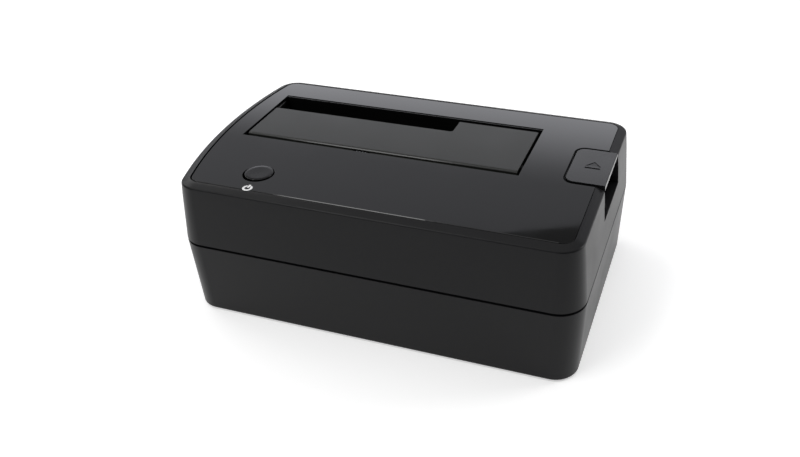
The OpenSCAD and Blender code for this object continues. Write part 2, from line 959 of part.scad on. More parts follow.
// Path of a stop lug in an end wall of the well, from the shut flap's place down to the open one's
module lug_track(x0, x1) {
    far = lug_w + lug_y - hinge_y + play;
    reach = sqrt(far * far + lug_h * lug_h);
    near = lug_y - hinge_y - play;
    intersection() {
        difference() {
            rod_x(x0, x1, hinge_y, hinge_z, reach);
            rod_x(x0 - over, x1 + over, hinge_y, hinge_z, near);
        }
        span([x0, hinge_y - lug_h, hinge_z - reach], [x1, hinge_y + reach, lug_z1 + lug_stop_gap]);
    }
}

// Two-dimensional tab outline with its two inner corners rounded
module tab_shape(grow, x_end) {
    r = tab_r + grow;
    x0 = tab_x0 - grow;
    y0 = tab_y0 - grow;
    y1 = tab_y1 + grow;
    translate([x0 + r, y0])
        square([x_end - x0 - r, y1 - y0]);
    translate([x0, y0 + r])
        square([r + eps, y1 - y0 - 2 * r]);
    for (y = [y0 + r, y1 - r])
        translate([x0 + r, y])
            circle(r);
}

// Finger recess as seen from above: the tab's outline, opening out at the side wall in two rounded edges
module recess_shape() {
    r = recess_flare;
    x = recess_flare_x - r;
    x_end = half_l + over;
    y0 = tab_y0 - tab_gap;
    y1 = tab_y1 + tab_gap;
    tab_shape(tab_gap, x_end);
    polygon(concat(
        arc([x, y0 - r], r, 90, 0, 6),
        [[x_end, y0 - r], [x_end, y0 + eps], [x, y0 + eps]]
    ));
    polygon(concat(
        arc([x, y1 + r], r, -90, 0, 6),
        [[x_end, y1 + r], [x_end, y1 - eps], [x, y1 - eps]]
    ));
}

// Upper shell: walls, sloped rim, deck under the panel and the finger recess
module top_shell() {
    color(case_black)
        difference() {
            union() {
                difference() {
                    loft([
                        [z_top_low, 0],
                        [z_top - shoulder_drop, top_draft * shoulder_share],
                        for (p = rim_curve) [z_top - p[0], top_draft + p[1]],
                        [z_top - rim_end_drop, groove_in + rim_end_over]
                    ]);
                    loft([[z_top_low - over, wall_t], [z_deck, top_draft + wall_t]]);
                    loft([[z_top_low - over, lip_in - slip], [z_base_rim + lip_h + play, lip_in - slip]]);
                    translate([0, 0, z_panel])
                        linear_extrude(panel_t + over)
                            polygon(outline(groove_in));
                }
                span(
                    [tab_x0 - tab_gap - recess_t, tab_y0 - tab_gap - recess_t, recess_z - recess_t],
                    [half_l - wall_t, tab_y1 + tab_gap + recess_t, z_deck + eps]
                );
                for (p = corner_pts)
                    translate([p[0], p[1], case_post_z + post_gap])
                        cylinder(h = z_deck - case_post_z - post_gap + eps, r = case_post_r);
                for (x = [ear_x_left, ear_x_right])
                    for (y = ear_ys)
                        translate([x, y, ear_z + ear_t])
                            cylinder(h = z_deck - ear_z - ear_t + eps, r = boss_r);
                for (s = [-1, 1])
                    translate([power_x + s * switch_boss_x, power_y, switch_board_z + switch_board_t])
                        cylinder(h = z_deck - switch_board_z - switch_board_t + eps, r = boss_r);
            }
            span(
                [slot_x0 - well_t - slip, slot_y0 - well_t - slip, z_deck - over],
                [slot_x1 + well_t + slip, slot_y1 + well_t + slip, z_top]
            );
            translate([power_x, power_y, z_deck - over])
                cylinder(h = deck_t + 2 * over, r = power_hole_r + play);
            translate([0, 0, recess_z])
                linear_extrude(recess_h + over)
                    recess_shape();
            span(
                [stem_x0 - play, stem_y0 - play, recess_z - recess_t - over],
                [stem_x0 + stem_w + play, stem_y0 + stem_l + play, recess_z + over]
            );
            for (p = corner_pts)
                translate([p[0], p[1], case_post_z])
                    cylinder(h = case_screw_in + pilot_end, r = pilot_r);
            for (x = [ear_x_left, ear_x_right])
                for (y = ear_ys)
                    translate([x, y, ear_z])
                        cylinder(h = well_screw_l + pilot_end, r = pilot_r);
            for (s = [-1, 1])
                translate([power_x + s * switch_boss_x, power_y, switch_board_z])
                    cylinder(h = switch_screw_l + pilot_end, r = pilot_r);
        }
}

module switch_board() {
    color(board_green)
        difference() {
            translate([power_x - switch_board_l / 2, power_y - switch_board_w / 2, switch_board_z])
                cube([switch_board_l, switch_board_w, switch_board_t]);
            for (s = [-1, 1])
                translate([power_x + s * switch_boss_x, power_y, switch_board_z - over])
                    cylinder(h = switch_board_t + 2 * over, r = screw_hole_r);
        }
}

module switch_board_screws() {
    color(steel)
        for (s = [-1, 1])
            translate([power_x + s * switch_boss_x, power_y, switch_board_z])
                screw_up(switch_screw_l);
}

module tact_switch() {
    side = 6.2;
    color(chip_black)
        difference() {
            translate([power_x - side / 2, power_y - side / 2, switch_top - switch_h])
                cube([side, side, switch_h]);
            translate([power_x, power_y, switch_top - plunger_in - power_travel - screw_end_gap])
                cylinder(h = switch_h, r = plunger_r + run_fit);
        }
}

module switch_plunger() {
    color(chip_black)
        translate([power_x, power_y, switch_top - plunger_in])
            cylinder(h = stem_z - switch_top + plunger_in, r = plunger_r);
}

// Flat lead from the switch board down to the main board, with some slack
module switch_lead() {
    w = 6;
    t = 0.6;
    slack = 2.4;
    y = board_y0 + 3.5;
    z0 = board_top;
    z1 = switch_board_z;
    n = 24;
    mid = [for (i = [0 : n]) [y + slack * (1 - cos(360 * i / n)) / 2, z0 + (z1 - z0) * i / n]];
    far = [for (i = [0 : n]) [mid[n - i][0] + t, mid[n - i][1]]];
    color(flap_grey)
        translate([power_x - w / 2, 0, 0])
            rotate([90, 0, 90])
                linear_extrude(w)
                    polygon(concat(mid, far));
}

// Glossy plate let into the rim
module top_panel() {
    color(panel_black)
        translate([0, 0, z_panel])
            linear_extrude(panel_t)
                difference() {
                    polygon(outline(groove_in + groove_w));
                    translate([slot_x0, slot_y0])
                        square([slot_l, slot_w + slot_ledge]);
                    translate([power_x, power_y])
                        circle(power_hole_r);
                    tab_shape(tab_gap, half_l);
                }
}

// Push button: a dished cap with a rounded edge, a flange under the deck and a stem on the switch
module power_button() {
    cap_r = power_hole_r - power_gap;
    cap_z = z_top + power_rise;
    edge_r = 0.4;
    dish = 0.12;
    dish_r = cap_r - 1.2;
    flange_side = 1.4;
    stem_r = 2.0;
    flange_z = z_deck - play - power_flange_t;
    color(case_black)
        translate([power_x, power_y, 0])
            rotate_extrude()
                polygon(concat(
                    [
                        [0, stem_z],
                        [stem_r, stem_z],
                        [stem_r, flange_z],
                        [cap_r + flange_side, flange_z],
                        [cap_r + flange_side, flange_z + power_flange_t],
                        [cap_r, flange_z + power_flange_t]
                    ],
                    arc([cap_r - edge_r, cap_z - edge_r], edge_r, 0, 90, 4),
                    [[dish_r, cap_z], [dish_r / 2, cap_z - dish * 0.75], [0, cap_z - dish]]
                ));
}

// Eject tab: a flat plate with a rounded outer edge, on a guided stem with a rounded tip,
// a catch and two ribs
module eject_button() {
    catch_h = 1.2;
    catch_out = 0.7;
    catch_in = 2.0;
    catch_z = recess_z - recess_t - play - catch_h;
    rib_t = 1.2;
    rib_l = 3.2;
    rib_h = 4.5;
    tip_z = lever_z1 + tip_gap + tip_r;
    color(case_black) {
        difference() {
            translate([0, 0, tab_z0])
                linear_extrude(tab_t)
                    tab_shape(0, tab_x1);
            difference() {
                span(
                    [tab_x1 - tab_edge_r, tab_y0 - over, tab_z1 - tab_edge_r],
                    [tab_x1 + over, tab_y1 + over, tab_z1 + over]
                );
                rod_y(
                    tab_x1 - tab_edge_r,
                    tab_y0 - 2 * over,
                    tab_y1 + 2 * over,
                    tab_z1 - tab_edge_r,
                    tab_edge_r
                );
            }
        }
        span([stem_x0, stem_y0, tip_z], [stem_x0 + stem_w, stem_y0 + stem_l, tab_z0 + eps]);
        rod_y(tip_x, stem_y0, stem_y0 + stem_l, tip_z, tip_r);
        span(
            [stem_x0 + stem_w - eps, stem_y0 + catch_in, catch_z],
            [stem_x0 + stem_w + catch_out, stem_y0 + stem_l - catch_in, catch_z + catch_h]
        );
        for (y = [stem_y0, stem_y0 + stem_l - rib_t])
            translate([0, y + rib_t, 0])
                rotate([90, 0, 0])
                    linear_extrude(rib_t)
                        polygon([
                            [stem_x0 + stem_w - eps, tab_z0 + eps],
                            [stem_x0 + stem_w + rib_l, tab_z0 + eps],
                            [stem_x0 + stem_w - eps, tab_z0 - rib_h]
                        ]);
    }
}

module case_screws() {
    color(steel)
        for (p = corner_pts)
            translate([p[0], p[1], case_seat_z])
                screw_up(case_post_z - case_seat_z + case_screw_in);
}

base_shell();
rubber_feet();
main_board();
board_screws();
sata_socket();
sata_contacts();
usb_shell();
usb_tongue();
dc_jack();
dc_pin();
bridge_chip();
flash_chip();
crystal();
power_coils();
capacitors();
lever_pin();
eject_lever();
eject_spring();
drive_well();
well_screws();
flap_rod();
flap_spring();
flap();
top_shell();
switch_board();
switch_board_screws();
tact_switch();
switch_plunger();
switch_lead();
top_panel();
power_button();
eject_button();
case_screws();
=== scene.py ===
import math

import bmesh
import bpy
from mathutils import Matrix, Vector


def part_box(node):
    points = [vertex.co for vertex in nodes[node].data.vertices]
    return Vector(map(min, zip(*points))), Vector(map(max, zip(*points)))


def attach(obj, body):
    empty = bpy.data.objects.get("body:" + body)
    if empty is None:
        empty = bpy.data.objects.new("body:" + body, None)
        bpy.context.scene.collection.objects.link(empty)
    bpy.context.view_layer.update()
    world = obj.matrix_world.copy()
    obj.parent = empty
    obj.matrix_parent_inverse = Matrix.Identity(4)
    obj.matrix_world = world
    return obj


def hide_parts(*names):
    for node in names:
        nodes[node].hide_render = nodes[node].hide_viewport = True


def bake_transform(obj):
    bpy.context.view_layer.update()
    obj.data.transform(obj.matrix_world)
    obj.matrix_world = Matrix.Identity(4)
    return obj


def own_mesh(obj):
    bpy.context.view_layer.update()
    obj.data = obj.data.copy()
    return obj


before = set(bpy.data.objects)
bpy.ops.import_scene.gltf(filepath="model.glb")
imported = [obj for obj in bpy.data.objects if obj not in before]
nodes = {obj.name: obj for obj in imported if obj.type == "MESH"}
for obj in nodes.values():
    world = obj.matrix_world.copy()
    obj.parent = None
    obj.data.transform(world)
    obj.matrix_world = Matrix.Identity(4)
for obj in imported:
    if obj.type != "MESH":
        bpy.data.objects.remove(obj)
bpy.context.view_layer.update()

# Base shell: the lower half of the case, an open tray injection-moulded in black ABS. Its walls lean
# outwards to the parting line, a lip on its rim locates the upper half, and posts inside take the screws.
MM = 0.001
base_low, base_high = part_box("base_shell")
half_l = base_high.x
half_d = base_high.y
corner_r = 9.2 * MM
bow_r = 168 * MM
bow_y = 8.3 * MM
base_draft = 1.1 * MM
base_edge_r = 0.8 * MM
floor_t = 2.2 * MM
lip_in = 1.1 * MM
lip_t = 1.2 * MM
lip_h = 2.2 * MM
rim_z = base_high.z - lip_h
floor_z = base_low.z + floor_t
edge_round = 0.15 * MM
over = 1 * MM
near = 0.01 * MM

# Centres of the four upright corners and of the bowed left end, seen from above
corner_y = half_d - corner_r
corner_x = half_l - corner_r
bow_x = bow_r - half_l
bow_turn_back = math.asin((corner_y - bow_y) / (bow_r - corner_r))
bow_turn_front = math.asin((corner_y + bow_y) / (bow_r - corner_r))
left_back_x = bow_x - (bow_r - corner_r) * math.cos(bow_turn_back)
left_front_x = bow_x - (bow_r - corner_r) * math.cos(bow_turn_front)
corners = [(corner_x, -corner_y), (corner_x, corner_y), (left_back_x, corner_y), (left_front_x, -corner_y)]
UP = (0, 0, 1)
DOWN = (0, 0, -1)
QUARTER = math.pi / 2


def pick(kind, test):
    """Selects the verts, edges or faces of the piece in edit mode that pass the test, and no others."""
    bpy.ops.mesh.select_mode(type=kind)
    bpy.ops.mesh.select_all(action="DESELECT")
    mesh = bmesh.from_edit_mesh(bpy.context.edit_object.data)
    parts = {"VERT": mesh.verts, "EDGE": mesh.edges, "FACE": mesh.faces}[kind]
    for part in parts:
        if test(part):
            part.select_set(True)
    mesh.select_flush_mode()
    bmesh.update_edit_mesh(bpy.context.edit_object.data)


def draw(name, start, strokes, looks):
    """Starts a piece as one point and draws a closed outline from it, filled with a face that looks that way.
    A stroke is a point to go straight to, or a centre, an axis, an angle and a number of steps to turn by."""
    bpy.ops.object.select_all(action="DESELECT")
    bpy.ops.mesh.primitive_plane_add(size=MM, location=start)
    piece = bpy.context.object
    piece.name = name
    bpy.ops.object.transform_apply(location=True, rotation=True, scale=True)
    bpy.ops.object.mode_set(mode="EDIT")
    bpy.ops.mesh.select_mode(type="VERT")
    bpy.ops.mesh.merge(type="CENTER")
    for stroke in [*strokes, start]:
        if len(stroke) == 3:
            tip = next(v.co for v in bmesh.from_edit_mesh(piece.data).verts if v.select)
            bpy.ops.mesh.extrude_region_move(TRANSFORM_OT_translate={"value": Vector(stroke) - tip})
        else:
            centre, axis, angle, steps = stroke
            bpy.ops.mesh.spin(steps=steps, angle=-angle, center=centre, axis=axis)
    bpy.ops.mesh.select_all(action="SELECT")
    bpy.ops.mesh.remove_doubles(threshold=0.001 * MM)
    bpy.ops.mesh.edge_face_add()
    turn_to(looks)
    return piece


def turn_to(looks):
    """Flips the selected face if it looks away from that direction."""
    mesh = bmesh.from_edit_mesh(bpy.context.edit_object.data)
    face = next(f for f in mesh.faces if f.select)
    face.normal_update()
    if face.normal.dot(Vector(looks)) < 0:
        bpy.ops.mesh.flip_normals()


def case_outline(name, inset, z, looks):
    """The case's outline seen from above, moved inwards by inset, as a face at height z."""
    strokes = [
        ((corner_x, -corner_y, z), UP, QUARTER, 12),
        (half_l - inset, corner_y, z),
        ((corner_x, corner_y, z), UP, QUARTER, 12),
        (left_back_x, half_d - inset, z),
        ((left_back_x, corner_y, z), UP, QUARTER - bow_turn_back, 10),
        ((bow_x, bow_y, z), UP, bow_turn_back + bow_turn_front, 24),
        ((left_front_x, -corner_y, z), UP, QUARTER - bow_turn_front, 10),
    ]
    return draw(name, (corner_x, inset - half_d, z), strokes, looks)


def step(inset, rise):
    """Insets the selected face and lifts it along its own normal."""
    bpy.ops.mesh.inset(thickness=inset, depth=rise, use_even_offset=True)


def close_open_edge(looks):
    """Fills the piece's one open edge with a face that looks that way."""
    pick("EDGE", lambda e: e.is_boundary)
    bpy.ops.mesh.edge_face_add()
    turn_to(looks)


def block(low, high):
    """A plain block between two corners, to add to a piece or to cut it with."""
    low, high = Vector(low), Vector(high)
    bpy.ops.object.select_all(action="DESELECT")
    bpy.ops.mesh.primitive_cube_add(size=1, location=(low + high) / 2, scale=high - low)
    bpy.ops.object.transform_apply(location=True, rotation=True, scale=True)
    return bpy.context.object


def rod(start, end, radius, sides=32):
    """A round rod between two points, to add to a piece or to cut it with."""
    start, end = Vector(start), Vector(end)
    turn = (end - start).to_track_quat("Z", "Y").to_euler()
    bpy.ops.object.select_all(action="DESELECT")
    bpy.ops.mesh.primitive_cylinder_add(
        vertices=sides, radius=radius, depth=(end - start).length, location=(start + end) / 2, rotation=turn)
    bpy.ops.object.transform_apply(location=True, rotation=True, scale=True)
    return bpy.context.object


def join(shapes):
    """Makes one object of shapes that lie clear of each other."""
    bpy.ops.object.select_all(action="DESELECT")
    for shape in shapes:
        shape.select_set(True)
    bpy.context.view_layer.objects.active = shapes[0]
    if len(shapes) > 1:
        bpy.ops.object.join()
    return shapes[0]


def work(piece, shapes, how):
    """Adds shapes to a piece (UNION) or cuts it with them (DIFFERENCE)."""
    tool = join(shapes)
    bpy.context.view_layer.objects.active = piece
    cut = piece.modifiers.new("work", "BOOLEAN")
    cut.operation = how
    cut.object = tool
    bpy.ops.object.modifier_apply(modifier=cut.name)
    bpy.data.objects.remove(tool)


def soften(piece, width, segments=2):
    """Rounds every sharp edge of a moulding by a small radius and shades its curves smoothly."""
    bpy.ops.object.select_all(action="DESELECT")
    piece.select_set(True)
    bpy.context.view_layer.objects.active = piece
    rounded = piece.modifiers.new("rounded", "BEVEL")
    rounded.width = width
    rounded.segments = segments
    rounded.limit_method = "ANGLE"
    rounded.angle_limit = math.radians(38)
    rounded.miter_outer = "MITER_ARC"
    bpy.ops.object.modifier_apply(modifier=rounded.name)
    bpy.ops.object.shade_smooth_by_angle(angle=math.radians(35))
    weighted = piece.modifiers.new("weighted", "WEIGHTED_NORMAL")
    weighted.keep_sharp = True
    bpy.ops.object.modifier_apply(modifier=weighted.name)


def linear(colour):
    """A colour written as sRGB hex, in the linear values that a shader takes."""
    parts = [int(colour[i:i + 2], 16) / 255 for i in (1, 3, 5)]
    return [c / 12.92 if c <= 0.04045 else ((c + 0.055) / 1.055) ** 2.4 for c in parts] + [1.0]


def add(material, kind, settings={}, links={}):
    """Adds a node to a material, with its settings and what its inputs are linked to."""
    node = material.node_tree.nodes.new(kind)
    for key, value in settings.items():
        if isinstance(key, int) or key in node.inputs:
            node.inputs[key].default_value = value
        else:
            setattr(node, key, value)
    for key, socket in links.items():
        material.node_tree.links.new(socket, node.inputs[key])
    return node


def new_material(name):
    """An empty node material."""
    material = bpy.data.materials.new(name)
    material.use_nodes = True
    material.node_tree.nodes.clear()
    return material


flow_size = 22 * MM
gloss_swing = 0.03


def skin(name, dark, light, roughness, shine, grit, depth):
    """A skin of plastic, rubber or ink. A grain, of that grit and depth in millimetres, softens its gloss.
    Slow changes of tone and gloss come from the flow of the material and from handling."""
    material = new_material(name)
    place = add(material, "ShaderNodeTexCoord")
    grain = add(material, "ShaderNodeTexNoise", {"Scale": 1 / (grit * MM), "Detail": 2.0},
                {"Vector": place.outputs["Object"]})
    flow = add(material, "ShaderNodeTexNoise", {"Scale": 1 / flow_size, "Detail": 3.0, "Roughness": 0.55},
               {"Vector": place.outputs["Object"]})
    tone = add(material, "ShaderNodeMix", {"data_type": "RGBA", 6: linear(dark), 7: linear(light)},
               {"Factor": flow.outputs["Fac"]})
    gloss = add(material, "ShaderNodeMapRange",
                {"From Min": 0.3, "From Max": 0.7, "To Min": roughness - gloss_swing,
                 "To Max": roughness + gloss_swing}, {"Value": flow.outputs["Fac"]})
    bump = add(material, "ShaderNodeBump", {"Strength": 0.35, "Distance": depth * MM},
               {"Height": grain.outputs["Fac"]})
    shade = add(material, "ShaderNodeBsdfPrincipled", {"IOR": 1.53, "Specular IOR Level": shine},
                {"Base Color": tone.outputs[2], "Roughness": gloss.outputs["Result"],
                 "Normal": bump.outputs["Normal"]})
    add(material, "ShaderNodeOutputMaterial", {}, {"Surface": shade.outputs["BSDF"]})
    return material


def dress(piece, material, body=None, stands_for=()):
    """Gives a piece its material and its body, and hides the CAD nodes that it stands for."""
    piece.data.materials.clear()
    piece.data.materials.append(material)
    if body:
        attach(piece, body)
    if stands_for:
        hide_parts(*stands_for)


usb_low, usb_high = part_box("usb_shell")
jack_low, jack_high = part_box("dc_jack")
port_slip = 0.15 * MM
port_depth = 8 * MM
port_field_in = 1.6 * MM
port_field_side = 6 * MM
port_field_up = 3 * MM
post_r = 3.6 * MM
post_z = base_low.z + 17 * MM
bore_r = 2.9 * MM
bore_z = base_low.z + 8 * MM
clear_r = 1.6 * MM
pilot_r = 1.25 * MM
foot_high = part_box("rubber_feet")[1]
foot_r = 5.0 * MM
foot_slip = 0.15 * MM
foot_in = Vector((9.5 * MM, 2.5 * MM))
feet = [(x - math.copysign(foot_in.x, x), y - math.copysign(foot_in.y, y)) for x, y in corners]
board_low, board_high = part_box("main_board")
board_hole_in = 4 * MM
board_left_hole_x = jack_low.x - 7.5 * MM
board_holes = [
    (board_low.x + board_hole_in, board_low.y + board_hole_in),
    (board_high.x - board_hole_in, board_low.y + board_hole_in),
    (board_high.x - board_hole_in, board_high.y - board_hole_in),
    (board_left_hole_x, board_high.y - board_hole_in),
]
standoff_r = 2.7 * MM
standoff_floor = 0.4 * MM
pin_low, pin_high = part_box("lever_pin")
pivot_x = (pin_low.x + pin_high.x) / 2
pivot_z = (pin_low.z + pin_high.z) / 2
pin_r = (pin_high.z - pin_low.z) / 2
snug = 0.02 * MM
ear_half = 3 * MM
ear_t = 1.6 * MM
ear_top = pivot_z + 2 * MM
spring_low, spring_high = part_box("eject_spring")
spring_x = (spring_low.x + spring_high.x) / 2
spring_y = (spring_low.y + spring_high.y) / 2
peg_r = 2.2 * MM
peg_h = 1.2 * MM

base = case_outline("base_shell_moulding", 0, rim_z, DOWN)
step(base_draft, rim_z - base_low.z)
pick("EDGE", lambda e: all(v.co.z < base_low.z + edge_round for v in e.verts))
bpy.ops.mesh.bevel(offset=base_edge_r, segments=6, affect="EDGES")
close_open_edge(UP)
step(lip_in, 0)
step(0, lip_h)
step(lip_t, 0)
step(base_draft, floor_z - base_high.z)
bpy.ops.object.mode_set(mode="OBJECT")
posts = [rod((x, y, floor_z - over), (x, y, post_z), post_r) for x, y in corners]
standoffs = [rod((x, y, floor_z - over), (x, y, board_low.z), standoff_r) for x, y in board_holes]
ears = [block((pivot_x - ear_half, y, floor_z - over), (pivot_x + ear_half, y + ear_t, ear_top))
        for y in (pin_low.y, pin_high.y - ear_t)]
peg = rod((spring_x, spring_y, floor_z - over), (spring_x, spring_y, floor_z + peg_h), peg_r)
work(base, [*posts, *standoffs, *ears, peg], "UNION")
bores = [rod((x, y, 0), (x, y, bore_z), bore_r) for x, y in corners]
pockets = [rod((x, y, 0), (x, y, foot_high.z), foot_r + foot_slip, 48) for x, y in feet]
field = block((usb_low.x - port_field_side, half_d - port_field_in, usb_low.z - port_field_up),
              (jack_high.x + port_field_side, half_d + over, usb_high.z + port_field_up))
work(base, [*bores, *pockets, field], "DIFFERENCE")
clears = [rod((x, y, base_low.z), (x, y, post_z + over), clear_r) for x, y in corners]
holes = [block((low.x - port_slip, half_d - port_depth, low.z - port_slip),
               (high.x + port_slip, half_d, high.z + port_slip))
         for low, high in [(usb_low, usb_high), (jack_low, jack_high)]]
pilots = [rod((x, y, floor_z + standoff_floor), (x, y, board_high.z), pilot_r) for x, y in board_holes]
pin_hole = rod((pivot_x, pin_low.y - over, pivot_z), (pivot_x, pin_high.y + over, pivot_z), pin_r + snug)
work(base, [*clears, *holes, *pilots, pin_hole], "DIFFERENCE")
soften(base, edge_round)
# Black ABS from a finely spark-eroded mould: a soft satin black. The real grain is under 0.1 mm, and it is
# drawn at 0.5 mm so that it shows.
case_abs = skin("satin_black_abs", "#131314", "#18181a", 0.36, 0.165, 0.5, 0.006)
dress(base, case_abs, "housing", ["base_shell"])

# Rubber feet: four soft black pads, pressed into shallow pockets under the base. Each has a rounded lower
# edge and a shallow ring that grips the table.
foot_round = 0.6 * MM
grip_in = 1.4 * MM
grip_w = 0.8 * MM
grip_deep = 0.3 * MM
foot_x, foot_y = feet[0]


def copies(piece, offsets):
    """The piece, and a copy of it with a mesh of its own at each offset."""
    made = [piece]
    for offset in offsets:
        bpy.ops.object.select_all(action="DESELECT")
        piece.select_set(True)
        bpy.context.view_layer.objects.active = piece
        bpy.ops.object.duplicate(linked=False)
        bpy.ops.transform.translate(value=offset)
        bpy.ops.object.transform_apply(location=True, rotation=True, scale=True)
        made.append(bpy.context.object)
    return made


pad = rod((foot_x, foot_y, 0), (foot_x, foot_y, foot_high.z), foot_r, 48)
pad.name = "rubber_foot_pads"
bpy.ops.object.mode_set(mode="EDIT")
pick("FACE", lambda f: f.normal.z < -0.9)
step(grip_in, 0)
step(grip_deep, -grip_deep)
step(grip_w, 0)
step(grip_deep, grip_deep)
pick("EDGE", lambda e: all(v.co.z < near and math.dist(v.co.xy, feet[0]) > foot_r - near for v in e.verts))
bpy.ops.mesh.bevel(offset=foot_round, segments=4, affect="EDGES")
bpy.ops.object.mode_set(mode="OBJECT")
foot_pads = join(copies(pad, [(x - foot_x, y - foot_y, 0) for x, y in feet[1:]]))
bpy.ops.object.shade_smooth_by_angle(angle=math.radians(30))
# Moulded silicone rubber: deep black and dull, with a slightly dusty, uneven skin
rubber = skin("silicone_rubber", "#0e0e0e", "#161616", 0.75, 0.4, 0.4, 0.01)
dress(foot_pads, rubber, "housing", ["rubber_feet"])

# Main board: a plate of glass epoxy, screwed to four standoffs. Copper tracks under its green solder mask
# show as paler, slightly raised lines.
track_pitch = 1.2 * MM
track_field = 9 * MM
track_edge = (0.62, 0.7)
track_rise = 0.03 * MM


def wave_scale(pitch):
    """The scale at which a wave texture has that pitch."""
    return 2 * math.pi / (20 * pitch)


def solder_mask(name, over_glass, over_copper):
    """A board's skin: fields of tracks, which run along X or Y, under a thin glossy mask."""
    material = new_material(name)
    place = add(material, "ShaderNodeTexCoord")
    fields = add(material, "ShaderNodeTexVoronoi", {"distance": "CHEBYCHEV", "Scale": 1 / track_field},
                 {"Vector": place.outputs["Object"]})
    pick_way = add(material, "ShaderNodeSeparateColor", {}, {"Color": fields.outputs["Color"]})
    way = add(material, "ShaderNodeMath", {"operation": "GREATER_THAN", 1: 0.5}, {0: pick_way.outputs["Red"]})
    waves = [add(material, "ShaderNodeTexWave", {"bands_direction": axis, "Scale": wave_scale(track_pitch)},
                 {"Vector": place.outputs["Object"]}) for axis in ("X", "Y")]
    lines = add(material, "ShaderNodeMix", {},
                {"Factor": way.outputs["Value"], 2: waves[0].outputs["Fac"], 3: waves[1].outputs["Fac"]})
    track = add(material, "ShaderNodeMapRange", {"From Min": track_edge[0], "From Max": track_edge[1]},
                {"Value": lines.outputs[0]})
    tone = add(material, "ShaderNodeMix",
               {"data_type": "RGBA", 6: linear(over_glass), 7: linear(over_copper)},
               {"Factor": track.outputs["Result"]})
    bump = add(material, "ShaderNodeBump", {"Strength": 0.6, "Distance": track_rise},
               {"Height": track.outputs["Result"]})
    shade = add(material, "ShaderNodeBsdfPrincipled", {"Roughness": 0.28, "IOR": 1.55},
                {"Base Color": tone.outputs[2], "Normal": bump.outputs["Normal"]})
    add(material, "ShaderNodeOutputMaterial", {}, {"Surface": shade.outputs["BSDF"]})
    return material


# Green solder mask over etched copper on glass epoxy: tracks show paler than the bare glass between them
green_mask = solder_mask("green_solder_mask", "#0b3d22", "#1d6a3e")
dress(nodes["main_board"], green_mask)

# Board screws: four small screws, cold-headed from steel wire, thread-rolled and zinc-plated. They hold the
# main board down on the base's standoffs.
rolled = (1, 1, 0.15)
mark_depth = 0.004 * MM
mark_swing = 0.06


def metal(name, dark, light, roughness, grain, stretch):
    """Bare metal, its shine broken up by the fine marks of drawing, rolling or turning. They have that grain,
    in millimetres, and are longest along the axis where stretch is small."""
    material = new_material(name)
    place = add(material, "ShaderNodeTexCoord")
    drawn = add(material, "ShaderNodeMapping", {"Scale": stretch}, {"Vector": place.outputs["Object"]})
    marks = add(material, "ShaderNodeTexNoise", {"Scale": 1 / (grain * MM), "Detail": 3.0},
                {"Vector": drawn.outputs["Vector"]})
    tone = add(material, "ShaderNodeMix", {"data_type": "RGBA", 6: linear(dark), 7: linear(light)},
               {"Factor": marks.outputs["Fac"]})
    gloss = add(material, "ShaderNodeMapRange",
                {"From Min": 0.3, "From Max": 0.7, "To Min": roughness - mark_swing,
                 "To Max": roughness + mark_swing}, {"Value": marks.outputs["Fac"]})
    bump = add(material, "ShaderNodeBump", {"Strength": 0.3, "Distance": mark_depth},
               {"Height": marks.outputs["Fac"]})
    shade = add(material, "ShaderNodeBsdfPrincipled", {"Metallic": 1.0},
                {"Base Color": tone.outputs[2], "Roughness": gloss.outputs["Result"],
                 "Normal": bump.outputs["Normal"]})
    add(material, "ShaderNodeOutputMaterial", {}, {"Surface": shade.outputs["BSDF"]})
    return material


# Zinc-plated steel: a bright, slightly bluish grey with fine rolled marks, drawn at 0.5 mm so that they show
zinc_steel = metal("zinc_plated_steel", "#9a9da1", "#c3c6ca", 0.3, 0.5, rolled)
dress(nodes["board_screws"], zinc_steel)

# Drive socket: a black housing, moulded in glass-filled nylon and soldered to the board. The drive's plug
# slides into its signal groove and its power groove.
# Glass-filled nylon: a dull black, faintly mottled by its fibres
nylon = skin("glass_filled_nylon", "#0f0f10", "#191919", 0.55, 0.4, 0.7, 0.012)
dress(nodes["sata_socket"], nylon)

# Contacts of the drive socket: 22 blades, stamped from bronze strip and plated with gold. They are pressed
# into the rear walls of the socket's grooves.
along_z = (1, 1, 0.2)
# Gold over nickel: a warm yellow with the stamping's fine upright lines
gold = metal("gold_plate", "#c99a3c", "#f0cb74", 0.22, 0.25, along_z)
dress(nodes["sata_contacts"], gold)

# Data socket: a tube with bevelled upper corners, folded from thin sheet steel, tinned and soldered to the
# board. It opens in the rear wall.
along_y = (1, 0.15, 1)
# Tinned sheet steel: a soft white shine with rolling marks along its depth
tinned_steel = metal("tinned_steel", "#a6a6a3", "#d0d0cc", 0.32, 0.4, along_y)
dress(nodes["usb_shell"], tinned_steel)

# Tongue of the data socket: a block moulded in blue nylon and held in the steel tube. It carries the contacts
# in the middle of the opening.
# Blue nylon: a plain deep blue with a soft gloss
blue_nylon = skin("blue_nylon", "#123f86", "#17509f", 0.42, 0.45, 0.5, 0.006)
dress(nodes["usb_tongue"], blue_nylon)

# Power inlet: a block with a round socket, moulded in the same glass-filled nylon as the drive socket. It is
# soldered to the board behind the rear wall.
dress(nodes["dc_jack"], nylon)

# Centre pin of the power inlet: turned from brass rod, plated with nickel and riveted into the back of the
# block.
# Nickel plate: a warm, bright grey with fine marks along the pin
nickel = metal("nickel_plate", "#a9a59b", "#d6d2c8", 0.2, 0.3, along_y)
dress(nodes["dc_pin"], nickel)

# Bridge chip and memory chip: silicon dies cast in black epoxy, with tinned leads soldered to the board. The
# bridge passes data between the drive and the data socket.
# Moulded epoxy: a dull charcoal black, finely speckled by its filler
epoxy = skin("moulded_epoxy", "#17181a", "#222325", 0.6, 0.45, 0.3, 0.01)
dress(nodes["bridge_chip"], epoxy)
dress(nodes["flash_chip"], epoxy)

